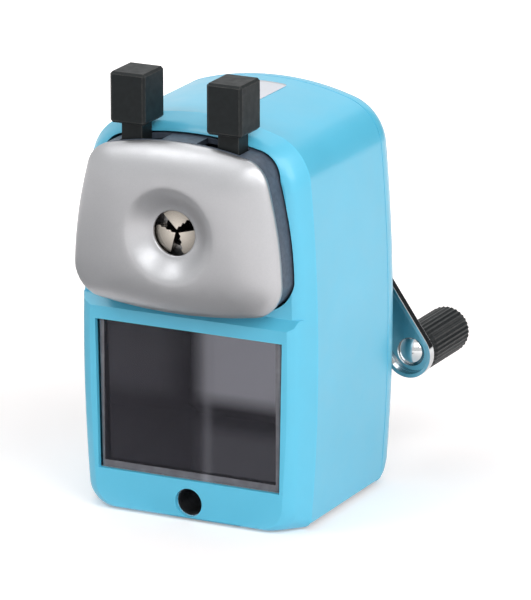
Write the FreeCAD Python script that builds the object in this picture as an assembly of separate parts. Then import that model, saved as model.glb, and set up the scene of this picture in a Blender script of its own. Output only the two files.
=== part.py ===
import FreeCAD, Part
import math
import os

# Crank pencil sharpener, in millimetres. X is to the right seen from the front, the front is at -Y, Z is up,
# and the origin is on the table under the middle of the case. Angles about the pencil axis are counted
# anticlockwise seen from the front, from +X.
V = FreeCAD.Vector
BIG = 200.0
RUN = 0.05          # radial clearance of a running fit
SEAT = 0.02         # radial clearance of a pressed or seated fit

# Case: a barrel section, wider in the middle than at the foot and the shoulders
CASE_DEPTH = 62.0
CASE_HALF_WIDTH = 36.8
SIDE_RADIUS = 560.0
SIDE_MID_Z = 50.0
TOP_RADIUS = 80.0
SHOULDER_RADIUS = 15.0
SHEET = 1.0         # sheet of the sleeve and the shelf
WALL = 1.6          # wall of the moulded and pressed shells
FRONT_DEPTH = 8.5   # front panel to the crease where the sleeve starts
FRONT_DRAFT = 3.2   # how much narrower the front frame is at its face
FRONT_DROP = 3.8    # how much lower its top is there
FRONT_ROUND = 2.4
FOOT_SHARP = 0.65   # share of that rounding that the lower edge of the front goes without
FOOT_RADIUS = 9.0   # lower corners of the front and rear faces
FOOT_CORNER = 3.0   # the same corners where the covers meet the sleeve
REAR_DEPTH = 7.0    # rear cover, seam to rear face
REAR_ROUND = 5.0
SPIGOT = 4.0        # how far the covers reach into the sleeve
FIT = 0.1           # spigot to sleeve
FOOT_GAP = 0.5      # table to the covers
SLEEVE_LIFT = 1.6   # covers to the lower edge of the sleeve
FEET_RADIUS = 5.0
FEET_IN = 12.8      # feet, base screws and base plate tongue, in from the side of the case
FEET_INSET_Y = 14.5
BASE_SHEET = 1.5
BASE_TONGUE_IN = 14.8
SCREW_IN = 19.8
SCREW_RADIUS = 1.5
SCREW_HEAD = 2.9
SCREW_SIDES = 12
BOSS_RADIUS = 3.0
FRONT_BOSS = 4.2    # inside of the front to the axis of its screw bosses
REAR_BOSS = 6.0     # inside of the rear cover to the axis of its screw bosses

# Drawer and what lies under it
DRAWER_FLOOR_Z = 12.6
DRAWER_HEIGHT = 43.7
DRAWER_MARGIN = 7.6     # drawer top corner to the side of the case
DRAWER_TAPER = 0.8      # how much narrower the drawer is at its floor
DRAWER_GAP = 0.4
DRAWER_RECESS = 1.0     # drawer front behind the front panel
DRAWER_WALL = 2.0
DRAWER_END_GAP = 8.0    # drawer back wall to the rear face of the case
DRAWER_CORNER = 1.2
SHELF_GAP = 0.3
RAIL_RISE = 8.0
CLAMP_Z = 5.6
CLAMP_RADIUS = 4.05
CLAMP_DEPTH = 34.0
CLAMP_WALL = 0.95
CLAMP_EAR = 6.0
PANEL_HOLE_GAP = 0.2

# Pencil axis and the top, counted up from the drawer
AXIS_RISE = 31.2
TOP_RISE = 30.9
DRAWER_TOP_Z = DRAWER_FLOOR_Z + DRAWER_HEIGHT
AXIS_Z = DRAWER_TOP_Z + AXIS_RISE
CASE_TOP = AXIS_Z + TOP_RISE
FRONT_Y = -CASE_DEPTH / 2
REAR_Y = CASE_DEPTH / 2
CREASE_Y = FRONT_Y + FRONT_DEPTH
SEAM_Y = REAR_Y - REAR_DEPTH

# Face plate of the carriage: outline about the pencil axis, and its pillow and dish
PLATE_MARGIN = 4.3      # widest point of the plate to the side of the case
PLATE_TOP = 25.9
PLATE_FOOT = 24.0
PLATE_WIDE_DROP = 13.5  # widest point below the axis
PLATE_SHOULDER_IN = 4.2
PLATE_SHOULDER_RISE = 16.0
PLATE_TOP_IN = 11.1     # where the top arc starts, in from the widest point
PLATE_TOP_SAG = 2.5
PLATE_FOOT_IN = 6.6
PLATE_FOOT_SAG = 2.2
PLATE_SIDE_IN = 1.15    # middle of the side arc, in from the widest point
PLATE_SIDE_RISE = 1.0
PLATE_CORNER_IN = 6.3   # middle of the upper corner arc
PLATE_CORNER_DROP = 5.2
PLATE_HEEL_IN = 1.8     # middle of the lower corner arc
PLATE_HEEL_RISE = 5.9
PLATE_EDGE_OUT = 5.4    # plate edge in front of the front panel
PLATE_CROWN = 6.6       # crown in front of the plate edge
PLATE_LIP = 1.0         # straight edge of the plate
PLATE_POINTS = 8        # points on each arc of the outline of the pillow
PLATE_STEPS = 6         # steps from the edge to the crown
PLATE_FLAT = 0.66       # size of the crown against the edge
PLATE_BULGE = 0.45      # powers that shape the curve from the edge to the crown
PLATE_RISE = 0.8
PLATE_WALL = 1.5
DISH_RADIUS = 13.8
DISH_DEPTH = 3.8
DISH_SIDES = 40
DISH_LIP = 3.0          # width of the soft rim of the dish
PENCIL_HOLE = 6.6

# Front recess and carriage
UPPER_SETBACK = 2.0     # rim of the recess behind the front panel
LEDGE_DROP = 27.0       # front edge of the ledge below the axis
LEDGE_RISE = 3.0
MOUTH_INSET = 0.1       # mouth inside the outline of the plate
MOUTH_LIFT = 0.8        # top of the mouth and the housing above that outline
MOUTH_COLLAR = 1.0
HOUSING_GAP = 0.6
HOUSING_WALL = 1.6
HOUSING_BACK = 2.0
CARRIAGE_STOP = 0.5     # carriage to partition when it is pushed in
PARTITION = 3.0
RECESS_DEPTH = 10.0     # front panel to the partition
ROD_RADIUS = 3.0
ROD_X = 24.0
ROD_DROP = 13.5
ROD_BOSS = 5.0
ROD_BOSS_LENGTH = 5.5
BUSH_WALL = 1.4
BUSH_FLANGE = 6.2
BUSH_FLANGE_LENGTH = 1.0
BUSH_BOSS = 6.0
BUSH_BOSS_LENGTH = 6.0
ROD_END_GAP = 2.4       # rod end to the rear face of the case
CLIP_RADIUS = 5.6
CLIP_LENGTH = 1.2
CLIP_INSET = 1.1
SPRING_WIRE = 0.45
SPRING_GAP = 0.8        # rod to wire
SPRING_TURNS = 6
SPRING_STEPS = 8        # sections of one turn
POST_RADIUS = 2.6
POST_SCREW = 1.2
POST_HEAD = 2.2
UPPER_POST_IN = 8.8     # in from the widest point of the plate
UPPER_POST_RISE = 13.5
LOWER_POST = (12.0, -17.9)
POST_GRIP = 7.0         # screw in its post
HEAD_SEAT = 1.2         # depth of the seat of a carriage screw head

# Jaws, the two plates that turn them, and the pinch tabs
PINCH = 11.0            # turn of each plate, in degrees
BORE_RADIUS = 4.8
SLEEVE_RADIUS = 6.0
SLEEVE_STEP = 8.0
PLATE_THICK = 2.0
PLATE_SPACE = 0.3
JAW_THICK = 2.7
JAW_SPACE = 0.25
JAW_PIVOT = 8.0
JAW_DRIVE = 15.0
JAW_EYE = 2.6
JAW_TIP = 0.5
JAW_FLANK = 50.0        # half angle of the gripping wedge, in degrees
JAW_REACH = 4.3
JAW_ANGLES = (90.0, 210.0, 330.0)
JAW_NAMES = ("jaw_top", "jaw_left", "jaw_right")
PIVOT_PIN = 1.2
DRIVE_PIN = 1.0
DRIVE_SLACK = 0.25
RING_RIM = 2.3
ARM_X = 15.1
ARM_WIDTH = 4.4
TAB_WIDTH = 11.0
TAB_DEPTH = 12.4
TAB_HEIGHT = 14.8
TAB_LIFT = 29.5         # underside of the tab heads above the axis
TAB_OVERHANG = 3.0      # head front in front of the stem
TAB_CHAMFER = 0.7
STEM_WIDTH = 6.4
STEM_DEPTH = 6.0
STEM_DROP = 10.0
STEM_COVER = 0.8        # stem in front of the left plate
STEM_CAP = 2.0          # end of the steel arm below the top of the stem socket
SLOT_GAP = 0.6
NIB_HALF = 0.7
NIB_LENGTH = 2.8
NIB_DROP = 9.9          # jaw spring below the tab heads
JAW_SPRING_WIRE = 0.35
JAW_SPRING_TURNS = 6

# Cutter unit: a bayonet housing with an internal gear, and a carrier with a tilted helical cutter
CUTTER_TILT = 9.0       # half angle of the pencil point, in degrees
CUTTER_RADIUS = 6.0
CUTTER_ROOT = 5.1
CUTTER_TEETH = 12
CUTTER_TWIST = 150.0
CUTTER_STEPS = 6
PIN_RADIUS = 1.5
CUTTER_RUN = 0.5        # carrier to cutter
POINT_SETBACK = 16.5    # pencil point to the rear face of the case
RING_TEETH = 26
PINION_TEETH = 12
PINION_LENGTH = 6.0
PINION_COLLAR = 1.4
ADDENDUM = 0.55         # in modules
DEDENDUM = 0.85
TOOTH_TIP = 0.22        # share of the pitch
TOOTH_FOOT = 0.58
GAP_FOOT = 0.40
GAP_MOUTH = 0.80
RING_MARGIN = 1.0       # ring longer than the pinion at each end
HEAD_RADIUS = 17.0      # front of the carrier
HUB_RADIUS = 7.0
WAIST = 2.0             # carrier drawn in behind its front wall
PENCIL_PATH = 4.3
PATH_SIDES = 12
FRONT_WALL = 6.0
HUB_WALL = 4.0
GUIDE_RADIUS = 7.0
HEAD_GAP = 1.76         # partition to the carrier, which sets the length of the cutter
GUIDE_DEPTH = 4.0       # guide tube inside the carrier
GUIDE_END_GAP = 0.3
UNIT_RADIUS = 20.0
UNIT_GAP = 0.15
UNIT_FLANGE = 23.5
UNIT_FLANGE_LENGTH = 2.0
UNIT_RIM = 2.0
UNIT_SCALLOPS = 8
SCALLOP_RADIUS = 2.5
LUG_REACH = 2.0
LUG_LENGTH = 2.4
LUG_ANGLES = (30.0, 150.0, 270.0)
LUG_HALF = 9.0
LUG_TURN = 35.0         # turn of the bayonet
SHAFT_RADIUS = 4.0
SHAFT_SPIGOT = 2.0
SHAFT_SPIGOT_LENGTH = 2.5
SHAFT_COLLAR = 5.6
BUSH_RADIUS = 5.4
BUSH_RIM = 7.0
BUSH_RIM_LENGTH = 0.6
HUB_END_GAP = 0.6

# Crank
CRANK_RADIUS = 63.1
CRANK_ANGLE = -53.6
ARM_HUB = 9.0
ARM_END = 7.3
ARM_SHEET = 1.2
ARM_DEPTH = 3.4
ARM_GAP = 5.0           # rear face of the case to the arm
ARM_CHAMFER = 0.8
ARM_SPIGOT = 2.8
SPIGOT_FLAT = 2.2
CAP_RADIUS = 5.0
CAP_HEIGHT = 2.6
RIVET_RADIUS = 2.5
RIVET_HEAD = 4.3
RIVET_DOME = 1.8
RIVET_END = 4.0
RIVET_END_LENGTH = 1.4
GRIP_RADIUS = 7.0
GRIP_LENGTH = 25.5
GRIP_GAP = 0.4
GRIP_RIBS = 32
GRIP_RIB_DEPTH = 0.35
GRIP_COLLAR = 2.4
GRIP_ROUND = 1.6

# Planes and radii worked out from the sizes above
UPPER_Y = FRONT_Y + UPPER_SETBACK
PARTITION_Y = FRONT_Y + RECESS_DEPTH
CARRIAGE_BACK = PARTITION_Y - CARRIAGE_STOP
PLATE_Y = FRONT_Y - PLATE_EDGE_OUT
PLATE_HALF = CASE_HALF_WIDTH - PLATE_MARGIN
UPPER_POST = (PLATE_HALF - UPPER_POST_IN, UPPER_POST_RISE)
FEET_X = CASE_HALF_WIDTH - FEET_IN
SCREW_X = CASE_HALF_WIDTH - SCREW_IN
BASE_TONGUE = CASE_HALF_WIDTH - BASE_TONGUE_IN
LEDGE_Z = AXIS_Z - LEDGE_DROP
ROD_Z = AXIS_Z - ROD_DROP
ROD_BACK = REAR_Y - ROD_END_GAP
DISH_Y = PLATE_Y - PLATE_CROWN + DISH_DEPTH
JAW_Y = DISH_Y + PLATE_WALL + JAW_SPACE
LEFT_PLATE_Y = JAW_Y + JAW_THICK + JAW_SPACE
RIGHT_PLATE_Y = LEFT_PLATE_Y + PLATE_THICK + PLATE_SPACE
SLEEVE_SHOULDER_Y = RIGHT_PLATE_Y + PLATE_THICK + PLATE_SPACE
RING_RADIUS = JAW_DRIVE + RING_RIM
STEM_Y = LEFT_PLATE_Y - STEM_COVER
TAB_Y = STEM_Y - TAB_OVERHANG
BASE_Z = FOOT_GAP + WALL
BASE_TOP = BASE_Z + BASE_SHEET
SHELF_TOP = DRAWER_FLOOR_Z - SHELF_GAP
TILT = math.radians(CUTTER_TILT)
POINT_Y = REAR_Y - POINT_SETBACK
APEX_Y = POINT_Y + CUTTER_RADIUS / math.sin(TILT)
GEAR_RATIO = RING_TEETH / PINION_TEETH
PINION_CONE = math.atan(math.sin(TILT) / (GEAR_RATIO - math.cos(TILT)))
RING_CONE = PINION_CONE + TILT
CUTTER_BACK = CUTTER_RADIUS / math.tan(TILT) - CUTTER_RUN
PINION_FRONT = CUTTER_BACK - PINION_COLLAR
PINION_BACK = PINION_FRONT - PINION_LENGTH
HEAD_FRONT = PARTITION_Y + PARTITION + HEAD_GAP
CUTTER_FRONT = (APEX_Y - HEAD_FRONT - FRONT_WALL) / math.cos(TILT) - CUTTER_RUN
CUTTER_LENGTH = CUTTER_FRONT - CUTTER_BACK
HUB_BACK = APEX_Y - (PINION_BACK - CUTTER_RUN) * math.cos(TILT) + HUB_WALL
RING_FRONT_Y = APEX_Y - (PINION_FRONT + RING_MARGIN) * math.cos(RING_CONE) / math.cos(PINION_CONE)
RING_BACK_Y = APEX_Y - (PINION_BACK - RING_MARGIN) * math.cos(RING_CONE) / math.cos(PINION_CONE)
UNIT_BACK = REAR_Y + UNIT_FLANGE_LENGTH
BUSH_BACK = UNIT_BACK + BUSH_RIM_LENGTH
ARM_Y = REAR_Y + ARM_GAP
ARM_WEB = ARM_Y + ARM_DEPTH - ARM_SHEET
ARM_BACK = ARM_Y + ARM_DEPTH
GRIP_Y = ARM_BACK + GRIP_GAP
GRIP_BACK = GRIP_Y + GRIP_LENGTH


# Small helpers

def box(x0, x1, y0, y1, z0, z1):
    return Part.makeBox(x1 - x0, y1 - y0, z1 - z0, V(x0, y0, z0))


def rod_y(x, z, radius, y0, y1):
    """Cylinder along Y."""
    return Part.makeCylinder(radius, y1 - y0, V(x, y0, z), V(0, 1, 0))


def tube_y(x, z, outer, inner, y0, y1):
    return rod_y(x, z, outer, y0, y1).cut(rod_y(x, z, inner, y0, y1))


def rod_z(x, y, radius, z0, z1):
    return Part.makeCylinder(radius, z1 - z0, V(x, y, z0), V(0, 0, 1))


def prism_z(x, y, radius, z0, z1):
    """Upright prism of many sides, for a small screw."""
    loop = [V(px, py, z0) for px, py in round_points(x, y, radius, SCREW_SIDES)]
    return Part.Face(Part.makePolygon(loop + loop[:1])).extrude(V(0, 0, z1 - z0))


def polar(radius, degrees):
    """Point at an angle about the pencil axis, as x and z."""
    turn = math.radians(degrees)
    return (radius * math.cos(turn), AXIS_Z + radius * math.sin(turn))


def about_axis(shape, degrees):
    """Copy turned anticlockwise about the pencil axis, seen from the front."""
    turned = shape.copy()
    turned.rotate(V(0, 0, AXIS_Z), V(0, -1, 0), degrees)
    return turned


def mirrored(shape):
    return shape.mirror(V(0, 0, 0), V(1, 0, 0))


def wire_xz(y, start, steps):
    """Closed wire at one depth. A step is the end of a line, or a point on an arc and its end."""
    edges = []
    here = V(start[0], y, start[1])
    for step in steps:
        end = V(step[-2], y, step[-1])
        if len(step) == 2:
            edges.append(Part.LineSegment(here, end).toShape())
        else:
            edges.append(Part.Arc(here, V(step[0], y, step[1]), end).toShape())
        here = end
    return Part.Wire(edges)


def slab(wire, depth):
    """Solid from a closed wire, pulled along Y."""
    return Part.Face(wire).extrude(V(0, depth, 0))


def polygon_y(points, y0, y1):
    """Prism along Y on a polygon of x and z."""
    return slab(loop_y(points, y0), y1 - y0)


def ruled(wires):
    """Solid with straight lines from each closed wire to the next."""
    return Part.makeLoft(wires, True, True)


def flat_sided(rings):
    """Solid of flat faces between rings of points, each ring a scaled copy of the last about one axis."""
    faces = []
    for near, far in zip(rings, rings[1:]):
        count = len(near)
        for k in range(count):
            following = (k + 1) % count
            corners = [near[k], near[following], far[following], far[k]]
            faces.append(Part.Face(Part.makePolygon(corners + corners[:1])))
    for ring in (rings[0], rings[-1]):
        faces.append(Part.Face(Part.makePolygon(ring + ring[:1])))
    shell = Part.makeShell(faces)
    shell.sewShape()
    solid = Part.makeSolid(shell)
    if solid.Volume < 0:
        solid.reverse()
    return solid


def ring_y(points, y):
    """Points of x and z at one depth."""
    return [V(x, y, z) for x, z in points]


def loop_y(points, y):
    """Closed polygon of x and z at one depth."""
    loop = ring_y(points, y)
    return Part.makePolygon(loop + loop[:1])


def round_points(x, z, radius, sides):
    """Corners of a regular polygon."""
    turns = [2 * math.pi * side / sides for side in range(sides)]
    return [(x + radius * math.cos(turn), z + radius * math.sin(turn)) for turn in turns]


def quarter_round(radius, steps):
    """Points on a quarter circle from a wall to a face, as inset from the wall and drop from the face."""
    places = []
    for step in range(steps + 1):
        turn = math.pi / 2 * step / steps
        places.append((radius * (1 - math.cos(turn)), radius * (1 - math.sin(turn))))
    return places


def toward(centre, point, reach):
    """Point at a distance from a centre, in the direction of another point."""
    dx = point[0] - centre[0]
    dz = point[1] - centre[1]
    share = reach / math.hypot(dx, dz)
    return (centre[0] + dx * share, centre[1] + dz * share)


def middle(p, q):
    return ((p[0] + q[0]) / 2, (p[1] + q[1]) / 2)


def flip(p):
    return (-p[0], p[1])


def upper_crossing(c1, r1, c2, r2):
    """Upper crossing point of two circles."""
    dx = c2[0] - c1[0]
    dz = c2[1] - c1[1]
    span = math.hypot(dx, dz)
    along = (r1 * r1 - r2 * r2 + span * span) / (2 * span)
    across = math.sqrt(r1 * r1 - along * along)
    return (c1[0] + (along * dx - across * dz) / span, c1[1] + (along * dz + across * dx) / span)


# Outlines

def barrel(y, half_width, top, bottom, foot_radius=0.0, inset=0.0):
    """Section of the case: bowed sides, round shoulders and a bowed top, drawn in by an inset."""
    side = (half_width - SIDE_RADIUS, SIDE_MID_Z)
    crown = (0.0, top - TOP_RADIUS)
    shoulder = upper_crossing(side, SIDE_RADIUS - SHOULDER_RADIUS, crown, TOP_RADIUS - SHOULDER_RADIUS)
    side_end = toward(side, shoulder, SIDE_RADIUS - inset)
    top_end = toward(crown, shoulder, TOP_RADIUS - inset)
    shoulder_mid = toward(shoulder, middle(side_end, top_end), SHOULDER_RADIUS - inset)
    if foot_radius:
        foot_z = bottom + foot_radius
        reach = SIDE_RADIUS - foot_radius
        foot = (side[0] + math.sqrt(reach ** 2 - (foot_z - SIDE_MID_Z) ** 2), foot_z)
        floor_end = (foot[0], bottom + inset)
        side_start = toward(side, foot, SIDE_RADIUS - inset)
        foot_mid = toward(foot, middle(floor_end, side_start), foot_radius - inset)
    else:
        reach = SIDE_RADIUS - inset
        side_start = (side[0] + math.sqrt(reach ** 2 - (bottom - SIDE_MID_Z) ** 2), bottom)
        floor_end = side_start
    side_mid = toward(side, middle(side_start, side_end), SIDE_RADIUS - inset)
    steps = [floor_end]
    if foot_radius:
        steps.append(foot_mid + side_start)
    steps.append(side_mid + side_end)
    steps.append(shoulder_mid + top_end)
    steps.append((0.0, top - inset) + flip(top_end))
    steps.append(flip(shoulder_mid) + flip(side_end))
    steps.append(flip(side_mid) + flip(side_start))
    if foot_radius:
        steps.append(flip(foot_mid) + flip(floor_end))
    return wire_xz(y, flip(floor_end), steps)


def plate_outline(y, inset, lift=0.0):
    """Outline of the face plate about the pencil axis, drawn in by an inset, with its top lifted."""
    half = PLATE_HALF - inset
    top = AXIS_Z + PLATE_TOP + lift - inset
    foot = AXIS_Z - PLATE_FOOT + inset
    wide = (half, AXIS_Z - PLATE_WIDE_DROP)
    shoulder = (half - PLATE_SHOULDER_IN, AXIS_Z + PLATE_SHOULDER_RISE)
    top_end = (PLATE_HALF - PLATE_TOP_IN, top - PLATE_TOP_SAG)
    foot_end = (PLATE_HALF - PLATE_FOOT_IN, foot + PLATE_FOOT_SAG)
    side_mid = (half - PLATE_SIDE_IN, AXIS_Z + PLATE_SIDE_RISE)
    corner = (half - PLATE_CORNER_IN, top - PLATE_CORNER_DROP)
    heel = (half - PLATE_HEEL_IN, foot + PLATE_HEEL_RISE)
    steps = [
        (0.0, foot) + foot_end,
        heel + wide,
        side_mid + shoulder,
        corner + top_end,
        (0.0, top) + flip(top_end),
        flip(corner) + flip(shoulder),
        flip(side_mid) + flip(wide),
        flip(heel) + flip(foot_end),
    ]
    return wire_xz(y, flip(foot_end), steps)


def drawer_section(y, grow):
    """Section of the drawer, wider at its top, grown by a clearance."""
    high = CASE_HALF_WIDTH - DRAWER_MARGIN + grow
    low = high - DRAWER_TAPER
    floor = DRAWER_FLOOR_Z - grow
    top = DRAWER_TOP_Z + grow
    loop = [V(-low, y, floor), V(low, y, floor), V(high, y, top), V(-high, y, top)]
    return Part.makePolygon(loop + loop[:1])


# Case

def screw_places():
    """The base screws, as x, y and the y of the cover wall that carries the boss."""
    front_wall = FRONT_Y + WALL
    rear_wall = REAR_Y - WALL
    places = []
    for x in (-SCREW_X, SCREW_X):
        places.append((x, front_wall + FRONT_BOSS, front_wall))
        places.append((x, rear_wall - REAR_BOSS, rear_wall))
    return places


def screw_boss(x, y, wall_y):
    """Boss over the base plate, tied to its cover by a rib."""
    top = SHELF_TOP - SHEET - SHELF_GAP
    boss = rod_z(x, y, BOSS_RADIUS, BASE_TOP, top)
    rib = box(x - SHEET, x + SHEET, min(y, wall_y), max(y, wall_y), BASE_TOP, top)
    return boss.fuse(rib)


def with_bosses(cover, places):
    """Cover with its screw bosses, and with the holes and head seats of the screws."""
    for place in places:
        cover = cover.fuse(screw_boss(*place))
    for x, y, _ in places:
        cover = cover.cut(rod_z(x, y, SCREW_RADIUS + SEAT, BASE_Z, SHELF_TOP - SHEET - BOSS_RADIUS))
        cover = cover.cut(rod_z(x, y, SCREW_HEAD + 2 * FIT, 0, BASE_Z))
    return cover


def spigot(y0, y1):
    """Ring of a cover that reaches into the sleeve, clear of the base plate."""
    outer = slab(barrel(y0, CASE_HALF_WIDTH, CASE_TOP, 0, 0, SHEET + FIT), y1 - y0)
    inner = slab(barrel(y0, CASE_HALF_WIDTH, CASE_TOP, -BIG / 10, 0, SHEET + FIT + SHEET), y1 - y0)
    low = box(-BIG, BIG, -BIG, BIG, -BIG, DRAWER_FLOOR_Z)
    return outer.cut(inner).cut(low)


def upper_prism(setback, drop):
    """Space in front of the upper part of the front frame, above its sloping ledge."""
    y = UPPER_Y + setback
    points = [
        V(0, -BIG, LEDGE_Z - drop),
        V(0, FRONT_Y + setback, LEDGE_Z - drop),
        V(0, y, LEDGE_Z + LEDGE_RISE - drop),
        V(0, y, BIG),
        V(0, -BIG, BIG),
    ]
    face = Part.Face(Part.makePolygon(points + points[:1]))
    face.translate(V(-BIG, 0, 0))
    return face.extrude(V(2 * BIG, 0, 0))


def foot_corner(share):
    """Radius of the lower corners, from the sleeve to the end face of a cover."""
    return FOOT_CORNER + (FOOT_RADIUS - FOOT_CORNER) * share


def front_section(y, inset, low=0.0):
    """Section of the drafted front frame, drawn in by an inset, with its lower edge brought down."""
    share = (CREASE_Y - y) / FRONT_DEPTH
    half = CASE_HALF_WIDTH - FRONT_DRAFT * share
    return barrel(y, half, CASE_TOP - FRONT_DROP * share, FOOT_GAP - low, foot_corner(share), inset)


def front_block(face_y):
    """Drafted block from a softly rounded face back to the crease."""
    wires = [front_section(CREASE_Y, 0.0)]
    for inset, drop in quarter_round(FRONT_ROUND, 2):
        wires.append(front_section(face_y + drop, inset, FOOT_SHARP * inset))
    return ruled(wires)


def make_front_frame():
    ledge_top = LEDGE_Z + LEDGE_RISE
    lower = front_block(FRONT_Y).cut(upper_prism(0.0, 0.0))
    lower = lower.cut(box(-BIG, BIG, -BIG, BIG, ledge_top, BIG))
    upper = front_block(UPPER_Y).cut(box(-BIG, BIG, -BIG, BIG, -BIG, ledge_top))
    body = lower.fuse(upper)
    cavity = ruled([front_section(FRONT_Y + WALL, WALL), front_section(CREASE_Y, WALL)])
    collar_edge = MOUTH_INSET - MOUTH_COLLAR
    collar = slab(plate_outline(UPPER_Y, collar_edge, MOUTH_LIFT), CREASE_Y - UPPER_Y)
    body = body.cut(cavity.cut(upper_prism(WALL, WALL)).cut(collar))
    body = body.fuse(slab(plate_outline(CREASE_Y, collar_edge, MOUTH_LIFT), PARTITION_Y - CREASE_Y))
    body = body.fuse(spigot(CREASE_Y - SHEET, CREASE_Y + SPIGOT).cut(
        box(-BIG, BIG, PARTITION_Y, BIG, DRAWER_TOP_Z, AXIS_Z)))
    body = body.cut(slab(plate_outline(-BIG, MOUTH_INSET, MOUTH_LIFT), BIG + PARTITION_Y))
    body = body.cut(slab(drawer_section(-BIG, DRAWER_GAP), BIG))
    places = [place for place in screw_places() if place[1] < 0]
    body = with_bosses(body, places)
    body = body.cut(rod_y(0, CLAMP_Z, CLAMP_RADIUS + PANEL_HOLE_GAP, FRONT_Y - 1, FRONT_Y + WALL))
    socket_room = CLAMP_RADIUS + CLAMP_WALL + DRAWER_GAP
    body = body.cut(box(-socket_room, socket_room, FRONT_Y + WALL, CREASE_Y, 0, CLAMP_Z))
    return body.removeSplitter()


def make_main_sleeve():
    lift = FOOT_GAP + SLEEVE_LIFT
    outer = slab(barrel(CREASE_Y, CASE_HALF_WIDTH, CASE_TOP, lift), SEAM_Y - CREASE_Y)
    inner = slab(barrel(CREASE_Y, CASE_HALF_WIDTH, CASE_TOP, lift - SHEET, 0, SHEET), SEAM_Y - CREASE_Y)
    return outer.cut(inner)


def bayonet_lugs(radius, y0, y1, turn, grow):
    """Sectors of the bayonet round the pencil axis."""
    ring = tube_y(0, AXIS_Z, radius, UNIT_RADIUS - SHEET, y0, y1)
    lugs = []
    for angle in LUG_ANGLES:
        far_a = polar(2 * radius, angle + turn - LUG_HALF - grow)
        far_b = polar(2 * radius, angle + turn + LUG_HALF + grow)
        wedge = polygon_y([(0, AXIS_Z), far_a, far_b], y0, y1)
        lugs.append(ring.common(wedge))
    return lugs


def rear_section(y, inset):
    share = (y - SEAM_Y) / REAR_DEPTH
    return barrel(y, CASE_HALF_WIDTH, CASE_TOP, FOOT_GAP, foot_corner(share), inset)


def make_rear_cover():
    outer = [rear_section(SEAM_Y, 0.0)]
    for inset, drop in quarter_round(REAR_ROUND, 3):
        outer.append(rear_section(REAR_Y - drop, inset))
    inner = [rear_section(SEAM_Y, WALL)]
    for inset, drop in quarter_round(REAR_ROUND - WALL, 1):
        inner.append(rear_section(REAR_Y - WALL - drop, WALL + inset))
    body = ruled(outer).cut(ruled(inner)).fuse(spigot(SEAM_Y - SPIGOT, SEAM_Y + SHEET))
    body = body.cut(rod_y(0, AXIS_Z, UNIT_RADIUS + UNIT_GAP, SEAM_Y - SPIGOT, REAR_Y))
    for notch in bayonet_lugs(UNIT_RADIUS + LUG_REACH + UNIT_GAP, REAR_Y - WALL, REAR_Y, LUG_TURN, 1.0):
        body = body.cut(notch)
    places = [place for place in screw_places() if place[1] > 0]
    return with_bosses(body, places).removeSplitter()


def make_base_plate():
    side = CASE_HALF_WIDTH - SIDE_RADIUS
    half = side + math.sqrt(SIDE_RADIUS ** 2 - (BASE_Z - SIDE_MID_Z) ** 2) - SHEET - DRAWER_GAP
    plate = box(-half, half, CREASE_Y + FIT, SEAM_Y - FIT, BASE_Z, BASE_TOP)
    front = FRONT_Y + WALL + FIT
    back = REAR_Y - REAR_ROUND - FIT
    tongue = box(-BASE_TONGUE, BASE_TONGUE, front, back, BASE_Z, BASE_TOP)
    plate = plate.fuse(tongue).removeSplitter()
    for x, y, _ in screw_places():
        plate = plate.cut(rod_z(x, y, SCREW_RADIUS + FIT, 0, BASE_TOP))
    room = CLAMP_RADIUS + CLAMP_WALL + DRAWER_GAP
    socket_back = FRONT_Y + WALL + CLAMP_DEPTH + CLAMP_WALL
    return plate.cut(box(-room, room, FRONT_Y, socket_back + DRAWER_GAP, 0, BIG))


def make_rubber_feet():
    feet = []
    for x in (-FEET_X, FEET_X):
        for y in (FRONT_Y + FEET_INSET_Y, REAR_Y - FEET_INSET_Y):
            feet.append(rod_z(x, y, FEET_RADIUS, 0, BASE_Z))
    return Part.makeCompound(feet)


def make_case_screws():
    screws = []
    for x, y, _ in screw_places():
        head = prism_z(x, y, SCREW_HEAD, FOOT_GAP + FIT, BASE_Z)
        shank = prism_z(x, y, SCREW_RADIUS, BASE_Z, SHELF_TOP - SHEET - BOSS_RADIUS - FIT)
        screws.append(head.fuse(shank))
    return Part.makeCompound(screws)


def make_drawer_shelf():
    rail = CASE_HALF_WIDTH - DRAWER_MARGIN - DRAWER_TAPER / 2 + DRAWER_GAP
    front = FRONT_Y + WALL + FIT
    back = REAR_Y - DRAWER_END_GAP + DRAWER_WALL
    top = box(-rail - SHEET, rail + SHEET, front, back, SHELF_TOP - SHEET, SHELF_TOP)
    for x in (-rail - SHEET, rail):
        side = box(x, x + SHEET, CREASE_Y + SPIGOT, SEAM_Y - SPIGOT, BASE_TOP, SHELF_TOP + RAIL_RISE)
        top = top.fuse(side)
    return top.removeSplitter()


def make_clamp_socket():
    front = FRONT_Y + WALL
    back = front + CLAMP_DEPTH
    tube = rod_y(0, CLAMP_Z, CLAMP_RADIUS + CLAMP_WALL, front, back + CLAMP_WALL)
    ear = CLAMP_RADIUS + CLAMP_WALL + CLAMP_EAR
    mid = (front + back) / 2
    tube = tube.fuse(box(-ear, ear, mid - CLAMP_EAR, mid + CLAMP_EAR, BASE_TOP, BASE_TOP + CLAMP_WALL))
    return tube.cut(rod_y(0, CLAMP_Z, CLAMP_RADIUS, front, back))


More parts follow.
